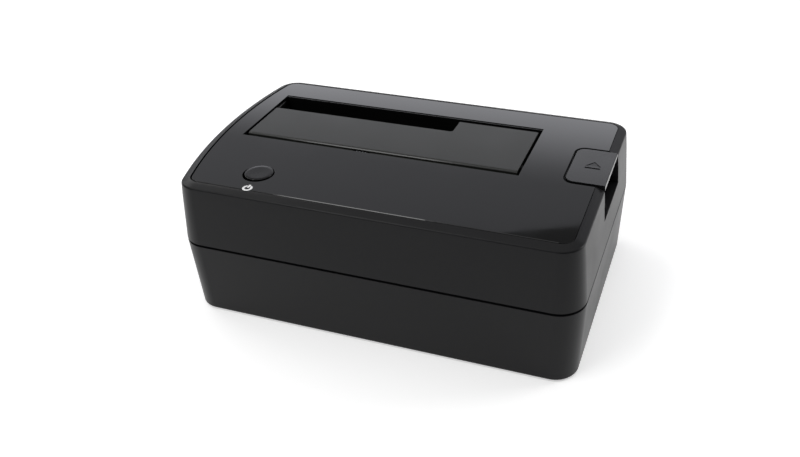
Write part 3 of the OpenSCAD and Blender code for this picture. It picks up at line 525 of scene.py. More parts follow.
# Crystal: a quartz plate in a drawn can of nickel silver, welded to a thin flange. Its leads are soldered to
# the board.
# Nickel silver: a pale grey metal with fine drawing marks up the can
nickel_silver = metal("nickel_silver", "#b3b1aa", "#dad8d2", 0.26, 0.35, along_z)
dress(nodes["crystal"], nickel_silver)

# Power coils: two drums of pressed ferrite, wound with copper wire and glued to square feet that are soldered
# to the board.
# Pressed ferrite: a dark slate grey, grainy and almost without shine
ferrite = skin("pressed_ferrite", "#2a2b2e", "#3a3b3f", 0.7, 0.35, 0.5, 0.03)
dress(nodes["power_coils"], ferrite)

# Capacitors: two upright cans, deep-drawn in aluminium and crimped near the foot over a rubber bung. Their
# leads are soldered to the board.
# Drawn aluminium: a white metal with long marks from the drawing die
aluminium = metal("drawn_aluminium", "#b9bbbd", "#e0e2e4", 0.3, 0.4, along_z)
dress(nodes["capacitors"], aluminium)

# Rocker pin: a plain pin, cut from ground steel rod and pressed into the two ears of the base. The rocker
# turns on it.
# Ground steel: bright, with fine marks along the rod
ground_steel = metal("ground_steel", "#a8a9ab", "#cfd0d2", 0.22, 0.3, along_y)
dress(nodes["lever_pin"], ground_steel)

# Rocker: a lever moulded in grey acetal, which turns on the steel pin without oil. The eject tab presses its
# paddle down, and its toe lifts the drive.
# Acetal: a smooth mid grey with a waxy gloss
acetal = skin("grey_acetal", "#5c5d5e", "#696a6b", 0.4, 0.4, 0.6, 0.006)
dress(nodes["eject_lever"], acetal)

# Return spring: a compression coil, wound from spring wire, which stands on the base's peg and lifts the
# rocker's paddle.
wire_r = 0.25 * MM
return_turns = 5
return_r = (spring_high.x - spring_low.x) / 2 - wire_r
return_h = spring_high.z - spring_low.z


def coil(name, radius, turns, pitch, legs):
    """A coil of wire up the Z axis, from a straight leg at its lower end to another at its upper end."""
    bpy.ops.object.select_all(action="DESELECT")
    bpy.ops.mesh.primitive_circle_add(
        vertices=10, radius=wire_r, location=(radius, 0, 0), rotation=(QUARTER, 0, 0))
    bpy.ops.object.transform_apply(location=True, rotation=True, scale=True)
    piece = bpy.context.object
    piece.name = name
    winding = piece.modifiers.new("winding", "SCREW")
    winding.screw_offset = pitch
    winding.iterations = turns
    winding.steps = 32
    winding.render_steps = 32
    bpy.ops.object.modifier_apply(modifier=winding.name)
    bpy.ops.object.mode_set(mode="EDIT")
    for end, leg in zip((-1, 1), legs):
        pick("EDGE", lambda e: e.is_boundary and (e.verts[0].co.z - turns * pitch / 2) * end > 0)
        if leg:
            bpy.ops.mesh.extrude_region_move(TRANSFORM_OT_translate={"value": (0, end * leg, 0)})
        bpy.ops.mesh.edge_face_add()
    bpy.ops.mesh.select_all(action="SELECT")
    bpy.ops.mesh.normals_make_consistent(inside=False)
    bpy.ops.object.mode_set(mode="OBJECT")
    bpy.ops.object.shade_smooth_by_angle(angle=math.radians(40))
    return piece


return_pitch = (return_h - 2 * wire_r) / return_turns
return_coil = coil("return_spring", return_r, return_turns, return_pitch, (0, 0))
bpy.ops.transform.translate(value=(spring_x, spring_y, spring_low.z + wire_r))
bpy.ops.object.transform_apply(location=True, rotation=True, scale=True)
# Oil-tempered spring wire: a dark, smooth steel grey with faint drawing marks
spring_wire = metal("spring_wire", "#6f7175", "#9b9da1", 0.28, 0.3, rolled)
dress(return_coil, spring_wire, "housing", ["eject_spring"])
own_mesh(return_coil)

# Drive well: a chute under the slot, moulded in plain black ABS and hung from the deck by four ears. Its
# mouth is rounded, its floor is open for the socket and the rocker, and each end wall has a track for a lug.
LEFT = (-1, 0, 0)
RIGHT = (1, 0, 0)
well_low, well_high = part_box("drive_well")
socket_low, socket_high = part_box("sata_socket")
lever_low, lever_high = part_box("eject_lever")
rod_low, rod_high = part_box("flap_rod")
flap_low, flap_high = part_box("flap")
screw_low, screw_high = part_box("well_screws")
panel_low, panel_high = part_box("top_panel")
well_t = 2.0 * MM
seat_t = 1.6 * MM
well_ear_l = 6.2 * MM
well_ear_t = 1.6 * MM
well_ear_w = 9 * MM
mouth_r = 0.5 * MM
well_lip = (-0.1 * MM, 0.4 * MM)
well_lip_drop = 0.2 * MM
head_r = 2.5 * MM
head_h = 1.6 * MM
screw_hole_r = 1.5 * MM
play = 0.3 * MM
slot_x0 = well_low.x + well_ear_l + well_t
slot_x1 = well_high.x - well_ear_l - well_t
slot_y0 = well_low.y + well_t
slot_y1 = well_high.y - well_t
well_ear_z = screw_low.z + head_h
well_screws = [(x, y) for x in (screw_low.x + head_r, screw_high.x - head_r)
               for y in (screw_low.y + head_r, screw_high.y - head_r)]
hinge_y = (rod_low.y + rod_high.y) / 2
hinge_z = (rod_low.z + rod_high.z) / 2
rod_r = (rod_high.z - rod_low.z) / 2
flap_t = 2.2 * MM
flap_under = flap_high.z - flap_t
lug_y = hinge_y + 6 * MM
lug_w = 2 * MM
lug_h = 1.6 * MM
lug_in = 0.9 * MM
lug_z = flap_under + 0.4 * MM
track_near = lug_y - hinge_y - play
track_far = math.hypot(lug_w + lug_y - hinge_y + play, lug_h)
track_top = lug_z + 0.05 * MM
track_sweep = math.radians(100)
rod_end_gap = 0.1 * MM
rod_slip = 0.06 * MM
rocker_w = 7.0 * MM
rocker_play = 0.5 * MM
rocker_slot = (lever_low.x - 0.9 * MM, pivot_x - 6.3 * MM)


def push_out(vector):
    """Extrudes the outline just drawn into a closed solid, and leaves edit mode."""
    bpy.ops.mesh.extrude_region_move(TRANSFORM_OT_translate={"value": vector})
    bpy.ops.mesh.select_all(action="SELECT")
    bpy.ops.mesh.normals_make_consistent(inside=False)
    bpy.ops.object.mode_set(mode="OBJECT")


well = block((slot_x0 - well_t, slot_y0 - well_t, well_low.z),
             (slot_x1 + well_t, slot_y1 + well_t, well_high.z))
well.name = "drive_well_chute"
bpy.ops.object.mode_set(mode="EDIT")
pick("FACE", lambda f: f.normal.z > 0.9)
step(well_t, 0)
step(0, well_low.z + seat_t - well_high.z)
pick("EDGE", lambda e: all(
    v.co.z > well_high.z - near and slot_x0 - over < v.co.x < slot_x1 + over for v in e.verts))
bpy.ops.mesh.bevel(offset=mouth_r, segments=4, affect="EDGES")
bpy.ops.object.mode_set(mode="OBJECT")
well_ears = [block((x0, y - well_ear_w / 2, well_ear_z), (x1, y + well_ear_w / 2, well_ear_z + well_ear_t))
             for x0, x1 in [(well_low.x, slot_x0 - over), (slot_x1 + over, well_high.x)]
             for y in (screw_low.y + head_r, screw_high.y - head_r)]
work(well, well_ears, "UNION")
lip = block((slot_x0, slot_y1 + well_lip[0], well_high.z - over),
            (slot_x1, slot_y1 + well_lip[1], panel_high.z - well_lip_drop))
work(well, [lip], "UNION")
socket_hole = block((socket_low.x - play, socket_low.y - play, well_low.z - over),
                    (socket_high.x + play, socket_high.y + play, well_low.z + seat_t + over))
rocker_hole = block((rocker_slot[0], lever_high.y - rocker_w - rocker_play, well_low.z - over),
                    (rocker_slot[1], lever_high.y + rocker_play, well_low.z + seat_t + over))
rod_bore = rod((rod_low.x - rod_end_gap, hinge_y, hinge_z), (rod_high.x + rod_end_gap, hinge_y, hinge_z),
               rod_r + rod_slip)
ear_holes = [rod((x, y, well_ear_z - over), (x, y, well_ear_z + well_ear_t + over), screw_hole_r)
             for x, y in well_screws]
work(well, [socket_hole, rocker_hole, rod_bore, *ear_holes], "DIFFERENCE")
drop_near = hinge_z - track_top
track_start = math.asin(drop_near / track_near)
track_end = math.asin(drop_near / track_far)
track_x = slot_x0 - lug_in - play
track = draw("lug_track", (track_x, hinge_y + track_near * math.cos(track_start), track_top), [
    ((track_x, hinge_y, hinge_z), RIGHT, track_start - track_sweep, 16),
    (track_x, hinge_y + track_far * math.cos(track_sweep), hinge_z - track_far * math.sin(track_sweep)),
    ((track_x, hinge_y, hinge_z), RIGHT, track_sweep - track_end, 16),
], LEFT)
push_out((lug_in + play + over, 0, 0))
tracks = copies(track, [(slot_x1 - over - track_x, 0, 0)])
work(well, tracks, "DIFFERENCE")
soften(well, edge_round)
# Plain black ABS with the mould's coarse finish: a deep, dull black, set darker than the case's black as
# painted shade inside the slot
well_abs_painted_shade = skin("plain_black_abs_painted_shade", "#060606", "#0a0a0a", 0.36, 0.35, 0.6, 0.006)
dress(well, well_abs_painted_shade, "housing", ["drive_well"])

# Well screws: four zinc-plated steel screws like the board's. They are driven up through the well's ears into
# the upper shell's bosses.
dress(nodes["well_screws"], zinc_steel)

# Hinge rod: a length of ground steel rod, pressed through the flap's front edge. Its two ends turn in the end
# walls of the well.
along_x = (0.15, 1, 1)
# The same ground steel as the rocker's pin, with its marks along this rod
hinge_steel = metal("ground_rod_steel", "#a8a9ab", "#cfd0d2", 0.22, 0.3, along_x)
dress(nodes["flap_rod"], hinge_steel)

# Flap spring: a torsion coil, wound from the same wire round the rod. One leg bears on the well and the other
# swings the flap shut.
torsion_r = 1.45 * MM
torsion_turns = 4
torsion_pitch = 1.1 * MM
torsion_legs = (3.2 * MM, 6.0 * MM)
torsion_lay = math.radians(14.5)
coil_x = slot_x0 + 46 * MM
torsion_start = Vector((coil_x - torsion_turns * torsion_pitch / 2, hinge_y, hinge_z))
torsion_coil = coil("flap_torsion_spring", torsion_r, torsion_turns, torsion_pitch, torsion_legs)
bpy.ops.transform.translate(value=torsion_start)
torsion_turn = Matrix.Rotation(QUARTER, 3, "Y") @ Matrix.Rotation(torsion_lay, 3, "Z")
torsion_coil.rotation_euler = torsion_turn.to_euler()
bpy.ops.object.transform_apply(location=True, rotation=True, scale=True)
dress(torsion_coil, spring_wire)
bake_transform(torsion_coil)
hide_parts("flap_spring")

# Dust flap: an L-shaped plate, moulded in a dull dark grey ABS, whose rolled front edge turns on the rod.
# Ribs stiffen it from below, and a lug at each end stops it level with the panel.
nose_r = 1.5 * MM
nose_face = 0.1 * MM
nose_chamfer = 0.28 * MM
roll_r = 1.6 * MM
roll_turn = math.radians(28)
flap_left_gap = 0.65 * MM
flap_right_gap = 1.3 * MM
flap_round = 0.08 * MM
flap_x0 = slot_x0 + flap_left_gap
flap_x1 = slot_x1 - flap_right_gap
notch_x = slot_x0 + 72.7 * MM
notch_y = slot_y1 - 9.9 * MM
notch_r = 1.2 * MM
nose_start = math.acos(nose_face / nose_r)
nose_turn = math.pi + nose_start + math.asin((flap_under - hinge_z) / nose_r)
nose_y = hinge_y - nose_face
roll_y = nose_y + nose_chamfer + roll_r * math.sin(roll_turn)
roll_drop = roll_r * (1 - math.cos(roll_turn))
flap = draw("dust_flap", (flap_x0, roll_y, flap_high.z), [
    ((flap_x0, roll_y, flap_high.z - roll_r), RIGHT, roll_turn, 8),
    (flap_x0, nose_y, flap_high.z - roll_drop - nose_chamfer),
    (flap_x0, nose_y, hinge_z + nose_r * math.sin(nose_start)),
    ((flap_x0, hinge_y, hinge_z), RIGHT, nose_turn, 30),
    (flap_x0, flap_high.y, flap_under),
    (flap_x0, flap_high.y, flap_high.z),
], LEFT)
push_out((flap_x1 - flap_x0, 0, 0))
notch = draw("notch", (flap_x0 - over, slot_y1, flap_low.z), [
    (flap_x0 - over, notch_y, flap_low.z),
    (notch_x - notch_r, notch_y, flap_low.z),
    ((notch_x - notch_r, notch_y + notch_r, flap_low.z), UP, QUARTER, 8),
    (notch_x, slot_y1, flap_low.z),
], DOWN)
push_out((0, 0, flap_high.z + over - flap_low.z))
work(flap, [notch], "DIFFERENCE")
rib_n = 7
rib_t = 1.2 * MM
rib_in = 4 * MM
rib_root = 2.0 * MM
rib_tip = 0.8 * MM
rib_bite = 0.3 * MM
rib_x = flap_x0 + rib_in - rib_t / 2
rib_pitch = (flap_x1 - flap_x0 - 2 * rib_in) / (rib_n - 1)
rib = draw("rib", (rib_x, hinge_y, flap_under + rib_bite), [
    (rib_x, hinge_y, flap_under - rib_root),
    (rib_x, notch_y - rib_in, flap_under - rib_tip),
    (rib_x, notch_y - rib_in, flap_under + rib_bite),
], LEFT)
push_out((rib_t, 0, 0))
ribs = copies(rib, [(i * rib_pitch, 0, 0) for i in range(1, rib_n)])
work(flap, ribs, "UNION")
lug_root = 2.5 * MM
lugs = [block((x0, lug_y, lug_z - lug_h), (x1, lug_y + lug_w, lug_z))
        for x0, x1 in [(flap_low.x, flap_x0 + lug_root), (flap_x1 - lug_root, flap_high.x)]]
work(flap, lugs, "UNION")
coil_half = 3.2 * MM
coil_room_r = 1.85 * MM
leg_room = 9 * MM
coil_pocket = rod((coil_x - coil_half, hinge_y, hinge_z), (coil_x + coil_half, hinge_y, hinge_z), coil_room_r)
work(flap, [coil_pocket], "DIFFERENCE")
leg_pocket = block((coil_x - coil_half, hinge_y - coil_room_r, flap_low.z - over),
                   (coil_x + coil_half, hinge_y + leg_room, hinge_z))
work(flap, [leg_pocket], "DIFFERENCE")
bore = rod((flap_x0 - over, hinge_y, hinge_z), (flap_x1 + over, hinge_y, hinge_z), rod_r + snug)
work(flap, [bore], "DIFFERENCE")
soften(flap, flap_round)
# Dark grey ABS from a coarser mould: duller than the case, with an even grain
flap_abs = skin("matt_grey_abs", "#20211f", "#262725", 0.32, 0.33, 0.45, 0.006)
# Drives burnish the chamfer on its front edge, which draws a bright line because its gloss is higher
burnish = 0.3
burnish_end = 0.1 * MM
chamfer_y = nose_y + nose_chamfer
place = add(flap_abs, "ShaderNodeTexCoord")
axes = add(flap_abs, "ShaderNodeSeparateXYZ", {}, {"Vector": place.outputs["Object"]})
wear = add(flap_abs, "ShaderNodeMapRange",
           {"From Min": chamfer_y - burnish_end, "From Max": chamfer_y, "To Min": burnish, "To Max": 1.0},
           {"Value": axes.outputs["Y"]})
shade = next(n for n in flap_abs.node_tree.nodes if n.type == "BSDF_PRINCIPLED")
gloss = shade.inputs["Roughness"].links[0].from_socket
worn = add(flap_abs, "ShaderNodeMath", {"operation": "MULTIPLY"}, {0: gloss, 1: wear.outputs["Result"]})
flap_abs.node_tree.links.new(worn.outputs["Value"], shade.inputs["Roughness"])
dress(flap, flap_abs, "flap", ["flap"])

# Upper shell: moulded in the same satin black ABS as the base. Its rim slopes up to a groove round the panel,
# and a finger recess opens in its right side, under the eject tab.
tab_low, tab_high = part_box("eject_button")
button_low, button_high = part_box("power_button")
part_gap = 0.9 * MM
top_edge_z = rim_z + part_gap
deck_t = 2.4 * MM
deck_z = panel_low.z - deck_t
groove_in = 4.9 * MM
wall_t = 2.4 * MM
wall_lean = 1.65 * MM
lip_slip = 0.15 * MM
lip_play = 0.3 * MM
shoulder_in = 1.33 * MM
shoulder_z = panel_high.z - 6 * MM
brow_in = 1.86 * MM
brow_z = panel_high.z - 1.14 * MM
brow_r = 0.45 * MM
crown_in = 3.9 * MM
crown_z = panel_high.z - 0.35 * MM
rim_edge_z = panel_high.z - 0.07 * MM
tab_gap = 0.6 * MM
tab_r = 3.0 * MM
recess_z = panel_high.z - 11.8 * MM
recess_t = 1.5 * MM
flare_r = 1.7 * MM
flare_x = half_l - 1.3 * MM
power_x = (button_low.x + button_high.x) / 2
power_y = (button_low.y + button_high.y) / 2
power_hole_r = 5.4 * MM


def tab_outline(name, grow, end_x, z, looks):
    """The eject tab's outline, grown on its three inner sides, with its outer end at end_x, at height z."""
    r = tab_r + grow
    inner_x = tab_low.x - grow + r
    front_y = tab_low.y - grow
    back_y = tab_high.y + grow
    return draw(name, (end_x, back_y, z), [
        (inner_x, back_y, z),
        ((inner_x, back_y - r, z), UP, QUARTER, 10),
        (inner_x - r, front_y + r, z),
        ((inner_x, front_y + r, z), UP, QUARTER, 10),
        (end_x, front_y, z),
    ], looks)


top = case_outline("top_shell_moulding", 0, top_edge_z, UP)
step(shoulder_in, shoulder_z - top_edge_z)
step(brow_in - shoulder_in, brow_z - shoulder_z)
step(crown_in - brow_in, crown_z - brow_z)
step(groove_in - crown_in, rim_edge_z - crown_z)
step(0, panel_low.z - rim_edge_z)
pick("EDGE", lambda e: all(abs(v.co.z - brow_z) < near for v in e.verts))
bpy.ops.mesh.bevel(offset=brow_r, segments=6, affect="EDGES")
close_open_edge(DOWN)
step(lip_in - lip_slip, 0)
step(0, part_gap - lip_h - lip_play)
step(wall_t - lip_in + lip_slip, 0)
step(wall_lean, rim_z + lip_h + lip_play - deck_z)
bpy.ops.object.mode_set(mode="OBJECT")
deck_bite = 0.5 * MM
recess_box = block((tab_low.x - tab_gap - recess_t, tab_low.y - tab_gap - recess_t, recess_z - recess_t),
                   (half_l - wall_t, tab_high.y + tab_gap + recess_t, deck_z + deck_bite))
work(top, [recess_box], "UNION")
switch_low, switch_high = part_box("switch_board_screws")
switch_board_low, switch_board_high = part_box("switch_board")
boss_r = 2.6 * MM
switch_bosses = [(x, power_y) for x in (switch_low.x + head_r, switch_high.x - head_r)]
well_boss_z = well_ear_z + well_ear_t
post_gap = 0.2 * MM
upper_posts = [rod((x, y, post_z + post_gap), (x, y, deck_z + deck_bite), post_r) for x, y in corners]
hangers = [rod((x, y, well_boss_z), (x, y, deck_z + deck_bite), boss_r) for x, y in well_screws]
switch_posts = [rod((x, y, switch_board_high.z), (x, y, deck_z + deck_bite), boss_r)
                for x, y in switch_bosses]
work(top, [*upper_posts, *hangers, *switch_posts], "UNION")
well_room = 2.15 * MM
well_hole = block((slot_x0 - well_room, slot_y0 - well_room, deck_z - over),
                  (slot_x1 + well_room, slot_y1 + well_room, panel_high.z))
button_hole = rod((power_x, power_y, deck_z - over), (power_x, power_y, panel_high.z),
                  power_hole_r + play, 48)
work(top, [well_hole, button_hole], "DIFFERENCE")
recess = tab_outline("recess", tab_gap, half_l + over, recess_z, DOWN)
push_out((0, 0, panel_high.z + over - recess_z))
work(top, [recess], "DIFFERENCE")
recess_y0 = tab_low.y - tab_gap
flare = draw("flare", (flare_x - flare_r, recess_y0, recess_z), [
    ((flare_x - flare_r, recess_y0 - flare_r, recess_z), UP, -QUARTER, 8),
    (half_l + over, recess_y0 - flare_r, recess_z),
    (half_l + over, recess_y0 + over, recess_z),
    (flare_x - flare_r, recess_y0 + over, recess_z),
], DOWN)
push_out((0, 0, panel_high.z + over - recess_z))
work(top, [flare], "DIFFERENCE")
stem_x0 = tab_low.x + 0.5 * MM
stem_x1 = stem_x0 + 4.0 * MM
stem_y0 = tab_high.y - 10.6 * MM
stem_y1 = stem_y0 + 9.0 * MM
stem_hole = block((stem_x0 - play, stem_y0 - play, recess_z - recess_t - over),
                  (stem_x1 + play, stem_y1 + play, recess_z + over))
pilot_end = 1.0 * MM
post_pilot_l = 11 * MM
post_pilots = [rod((x, y, post_z), (x, y, post_z + post_pilot_l), pilot_r) for x, y in corners]
hanger_pilots = [rod((x, y, well_boss_z - over), (x, y, screw_high.z + pilot_end), pilot_r)
                 for x, y in well_screws]
switch_pilots = [rod((x, y, switch_board_low.z), (x, y, switch_high.z + pilot_end), pilot_r)
                 for x, y in switch_bosses]
work(top, [stem_hole, *post_pilots, *hanger_pilots, *switch_pilots], "DIFFERENCE")
soften(top, edge_round)
dress(top, case_abs, "housing", ["top_shell"])

# Switch board: a small plate of glass epoxy with the same green mask, under the power button. Two zinc-plated
# screws hold it to bosses of the upper shell.
dress(nodes["switch_board"], green_mask)
dress(nodes["switch_board_screws"], zinc_steel)

# Power switch: a push switch, moulded in the same nylon as the sockets and soldered to the small board. Its
# plunger carries the button's stem.
dress(nodes["tact_switch"], nylon)
dress(nodes["switch_plunger"], nylon)

# Switch lead: a flat lead of grey vinyl, extruded round its cores and bent in a loose curve. It is soldered
# to the switch board and the main board.
core_pitch = 1.0 * MM
core_rise = 0.15 * MM
# Extruded vinyl: a ridge for each core, and a soft grey between satin and dull
vinyl = new_material("grey_vinyl_lead")
place = add(vinyl, "ShaderNodeTexCoord")
cores = add(vinyl, "ShaderNodeTexWave", {"bands_direction": "X", "Scale": wave_scale(core_pitch)},
            {"Vector": place.outputs["Object"]})
tone = add(vinyl, "ShaderNodeMix", {"data_type": "RGBA", 6: linear("#6e6f70"), 7: linear("#8d8e8f")},
           {"Factor": cores.outputs["Fac"]})
bump = add(vinyl, "ShaderNodeBump", {"Strength": 0.8, "Distance": core_rise},
           {"Height": cores.outputs["Fac"]})
shade = add(vinyl, "ShaderNodeBsdfPrincipled", {"Roughness": 0.5, "IOR": 1.53},
            {"Base Color": tone.outputs[2], "Normal": bump.outputs["Normal"]})
add(vinyl, "ShaderNodeOutputMaterial", {}, {"Surface": shade.outputs["BSDF"]})
dress(nodes["switch_lead"], vinyl)

# Top panel: a plate of black ABS from a polished mould, let into the rim with a fine groove round it. It has
# lightly rounded edges, and cut-outs for the drive slot, the power button and the eject tab.
panel_gap = 0.45 * MM
panel_in = groove_in + panel_gap
panel_round = 0.05 * MM
chamfer = 0.2 * MM
panel_shift = (0.3 * MM, -0.15 * MM, 0)
panel = case_outline("top_panel_plate", panel_in, panel_low.z, DOWN)
bpy.ops.transform.translate(value=panel_shift)
push_out((0, 0, panel_high.z - panel_low.z))
slot_ledge = 0.7 * MM
tab_ledge = 0.25 * MM
slot_hole = block((slot_x0, slot_y0, panel_low.z - over),
                  (slot_x1, slot_y1 + slot_ledge, panel_high.z + over))
button_hole = rod((power_x, power_y, panel_low.z - over), (power_x, power_y, panel_high.z + over),
                  power_hole_r, 64)
tab_hole = tab_outline("tab_hole", tab_gap + tab_ledge, half_l, panel_low.z - over, DOWN)
push_out((0, 0, panel_high.z - panel_low.z + 2 * over))
work(panel, [slot_hole, button_hole, tab_hole], "DIFFERENCE")
front_y = panel_in - half_d + panel_shift[1]
wedge = draw("wedge", (left_front_x, front_y - over, panel_high.z - chamfer - over), [
    (left_front_x, front_y + chamfer + over, panel_high.z + over),
    (left_front_x, front_y - over, panel_high.z + over),
], LEFT)
push_out((corner_x - left_front_x, 0, 0))
work(panel, [wedge], "DIFFERENCE")
soften(panel, panel_round)
# ABS from a mirror-polished mould: a black gloss that reflects the room, a little wavy from shrinkage
panel_gloss = skin("polished_black_abs", "#0b0b0c", "#0e0e0f", 0.04, 0.5, 9, 0.0006)
dress(panel, panel_gloss, "housing", ["top_panel"])

# Power mark: a ring with a bar in its gap, the usual sign for power. It is pad-printed in white ink on the
# panel, in front of the power button.
mark_x = power_x + 1.25 * MM
mark_y = power_y - 9.5 * MM
mark_r = 1.7 * MM
mark_line = 0.75 * MM
mark_gap = math.radians(27)
mark_bar = (0.3 * MM, 2.1 * MM)
ink_t = 0.02 * MM
ink_z = panel_high.z - ink_t
mark_sweep = 2 * (math.pi - mark_gap)
mark_in = mark_r - mark_line
gap_x = math.sin(mark_gap)
gap_y = math.cos(mark_gap)
power_mark = draw("power_mark", (mark_x - mark_r * gap_x, mark_y + mark_r * gap_y, ink_z), [
    ((mark_x, mark_y, ink_z), UP, mark_sweep, 40),
    (mark_x + mark_in * gap_x, mark_y + mark_in * gap_y, ink_z),
    ((mark_x, mark_y, ink_z), UP, -mark_sweep, 40),
], DOWN)
push_out((0, 0, 2 * ink_t))
mark_stroke = block((mark_x - mark_line / 2, mark_y + mark_bar[0], ink_z),
                    (mark_x + mark_line / 2, mark_y + mark_bar[1], ink_z + 2 * ink_t))
work(power_mark, [mark_stroke], "UNION")
# Pad-printed ink: a thin, even white with a soft gloss
ink = skin("white_pad_print", "#ececec", "#f6f6f6", 0.45, 0.4, 0.3, 0.002)
dress(power_mark, ink, "housing")

# Power button: a round push button, moulded in glossy black ABS, with a shallow dish for the fingertip. A
# flange under the deck keeps it in, and its stem reaches down to the switch.
cap_r = power_hole_r - 0.6 * MM
flange_r = (button_high.x - button_low.x) / 2
flange_top = deck_z - 0.3 * MM
flange_t = 1.2 * MM
stem_r = 2.0 * MM
cap_round = 0.12 * MM
dish_r = cap_r - 1.2 * MM
dish = 0.03 * MM
cap_z = button_high.z - 0.45 * MM
cap_shift = 0.15 * MM


def lathe(name, centre, profile, sides):
    """Turns a profile of radii and heights, from one end of its axis to the other, into a round solid."""
    x, y = centre
    start = (x + profile[0][0], y, profile[0][1])
    bpy.ops.object.select_all(action="DESELECT")
    bpy.ops.mesh.primitive_plane_add(size=MM, location=start)
    piece = bpy.context.object
    piece.name = name
    bpy.ops.object.transform_apply(location=True, rotation=True, scale=True)
    bpy.ops.object.mode_set(mode="EDIT")
    bpy.ops.mesh.select_mode(type="VERT")
    bpy.ops.mesh.merge(type="CENTER")
    for (r0, z0), (r1, z1) in zip(profile, profile[1:]):
        bpy.ops.mesh.extrude_region_move(TRANSFORM_OT_translate={"value": (r1 - r0, 0, z1 - z0)})
    bpy.ops.mesh.select_all(action="SELECT")
    bpy.ops.mesh.spin(steps=sides, angle=2 * math.pi, center=(x, y, 0), axis=UP)
    bpy.ops.mesh.select_all(action="SELECT")
    bpy.ops.mesh.remove_doubles(threshold=0.001 * MM)
    bpy.ops.mesh.normals_make_consistent(inside=False)
    bpy.ops.object.mode_set(mode="OBJECT")
    return piece


def quarter_round(r, z, radius, steps):
    """Points of a rounded upper edge, from the side at radius r to the top at height z."""
    turns = [QUARTER * i / steps for i in range(steps + 1)]
    return [(r - radius + radius * math.cos(t), z - radius + radius * math.sin(t)) for t in turns]


button = lathe("power_button_cap", (power_x + cap_shift, power_y + cap_shift), [
    (0, button_low.z),
    (stem_r, button_low.z),
    (stem_r, flange_top - flange_t),
    (flange_r, flange_top - flange_t),
    (flange_r, flange_top),
    (cap_r, flange_top),
    *quarter_round(cap_r, cap_z, cap_round, 5),
    (dish_r, cap_z),
    *[(dish_r * (1 - t), cap_z - dish * math.sin(t * QUARTER)) for t in (0.25, 0.5, 0.75)],
    (0, cap_z - dish),
], 64)
bpy.ops.object.shade_smooth_by_angle(angle=math.radians(30))
# Black ABS from a polished mould, worn a little duller than the panel by fingers
button_abs = skin("worn_gloss_black_abs", "#0d0d0e", "#111112", 0.14, 0.37, 0.5, 0.001)
dress(button, button_abs, "power_button", ["power_button"])

# Eject tab: a flat push tab in the right end of the panel, moulded in semi-gloss black ABS with a sunk eject
# sign. Its outer end is rounded over, and a stem under it presses the rocker that lifts the drive.
FRONT = (0, -1, 0)
tab_t = 1.8 * MM
tab_end_r = 0.45 * MM
tab_fall = 0.4 * MM
tab_slope = tab_fall / (tab_high.y - tab_low.y)
tab_round = 0.12 * MM
stem_round = 1.96 * MM
web_t = 1.2 * MM
web_l = 3.2 * MM
web_h = 4.5 * MM
web_bite = 0.1 * MM
catch_h = 1.2 * MM
catch_out = 0.7 * MM
catch_in = 2.0 * MM
catch_z = recess_z - recess_t - play - catch_h
tab_under = tab_high.z - tab_t
tab = tab_outline("eject_tab", 0, tab_high.x, tab_under, DOWN)
push_out((0, 0, tab_t))
bpy.ops.object.mode_set(mode="EDIT")
bpy.ops.mesh.select_all(action="SELECT")
bpy.ops.mesh.bisect(plane_co=(tab_high.x, tab_low.y, tab_high.z), plane_no=(0, tab_slope, 1),
                    use_fill=True, clear_outer=True)
pick("EDGE", lambda e: all(v.co.z > tab_under + over and v.co.x > tab_high.x - near for v in e.verts))
bpy.ops.mesh.bevel(offset=tab_end_r, segments=6, affect="EDGES")
bpy.ops.object.mode_set(mode="OBJECT")
stem = block((stem_x0, stem_y0, tab_low.z), (stem_x1, stem_y1, tab_under + over))
bpy.ops.object.mode_set(mode="EDIT")
pick("EDGE", lambda e: all(v.co.z < tab_low.z + over for v in e.verts)
     and abs(e.verts[0].co.y - e.verts[1].co.y) > over)
bpy.ops.mesh.bevel(offset=stem_round, segments=6, affect="EDGES")
bpy.ops.object.mode_set(mode="OBJECT")
work(tab, [stem], "UNION")
web = draw("web", (stem_x1 - web_bite, stem_y0, tab_under + web_bite), [
    (stem_x1 + web_l, stem_y0, tab_under + web_bite),
    (stem_x1 - web_bite, stem_y0, tab_under - web_h),
], FRONT)
push_out((0, web_t, 0))
webs = copies(web, [(0, stem_y1 - web_t - stem_y0, 0)])
catch = block((stem_x1 - web_bite, stem_y0 + catch_in, catch_z),
              (stem_x1 + catch_out, stem_y1 - catch_in, catch_z + catch_h))
work(tab, [*webs, catch], "UNION")
sign_x = (tab_low.x + tab_high.x) / 2 + 0.5 * MM
sign_y = (tab_low.y + tab_high.y) / 2
sign_half = 2.6 * MM
sign_tip = 3.2 * MM
sign_bar = (-1.9 * MM, -0.9 * MM)
sign_deep = 0.2 * MM
sign_z = tab_high.z - tab_fall / 2 - sign_deep
arrow = draw("arrow", (sign_x - sign_half, sign_y, sign_z), [
    (sign_x + sign_half, sign_y, sign_z),
    (sign_x, sign_y + sign_tip, sign_z),
], DOWN)
push_out((0, 0, over))
sign_stroke = block((sign_x - sign_half, sign_y + sign_bar[0], sign_z),
                    (sign_x + sign_half, sign_y + sign_bar[1], tab_high.z + over))
work(tab, [arrow, sign_stroke], "DIFFERENCE")
soften(tab, tab_round)
# Black ABS from a lightly blasted mould: glossier than the case, and worn a little smoother by fingers
key_abs = skin("semi_gloss_black_abs", "#131314", "#18181a", 0.22, 0.34, 0.5, 0.003)
dress(tab, key_abs, "eject_button", ["eject_button"])

# Case screws: four long zinc-plated steel screws. They are driven up through the base's posts into those of
# the upper shell, and close the case.
dress(nodes["case_screws"], zinc_steel)

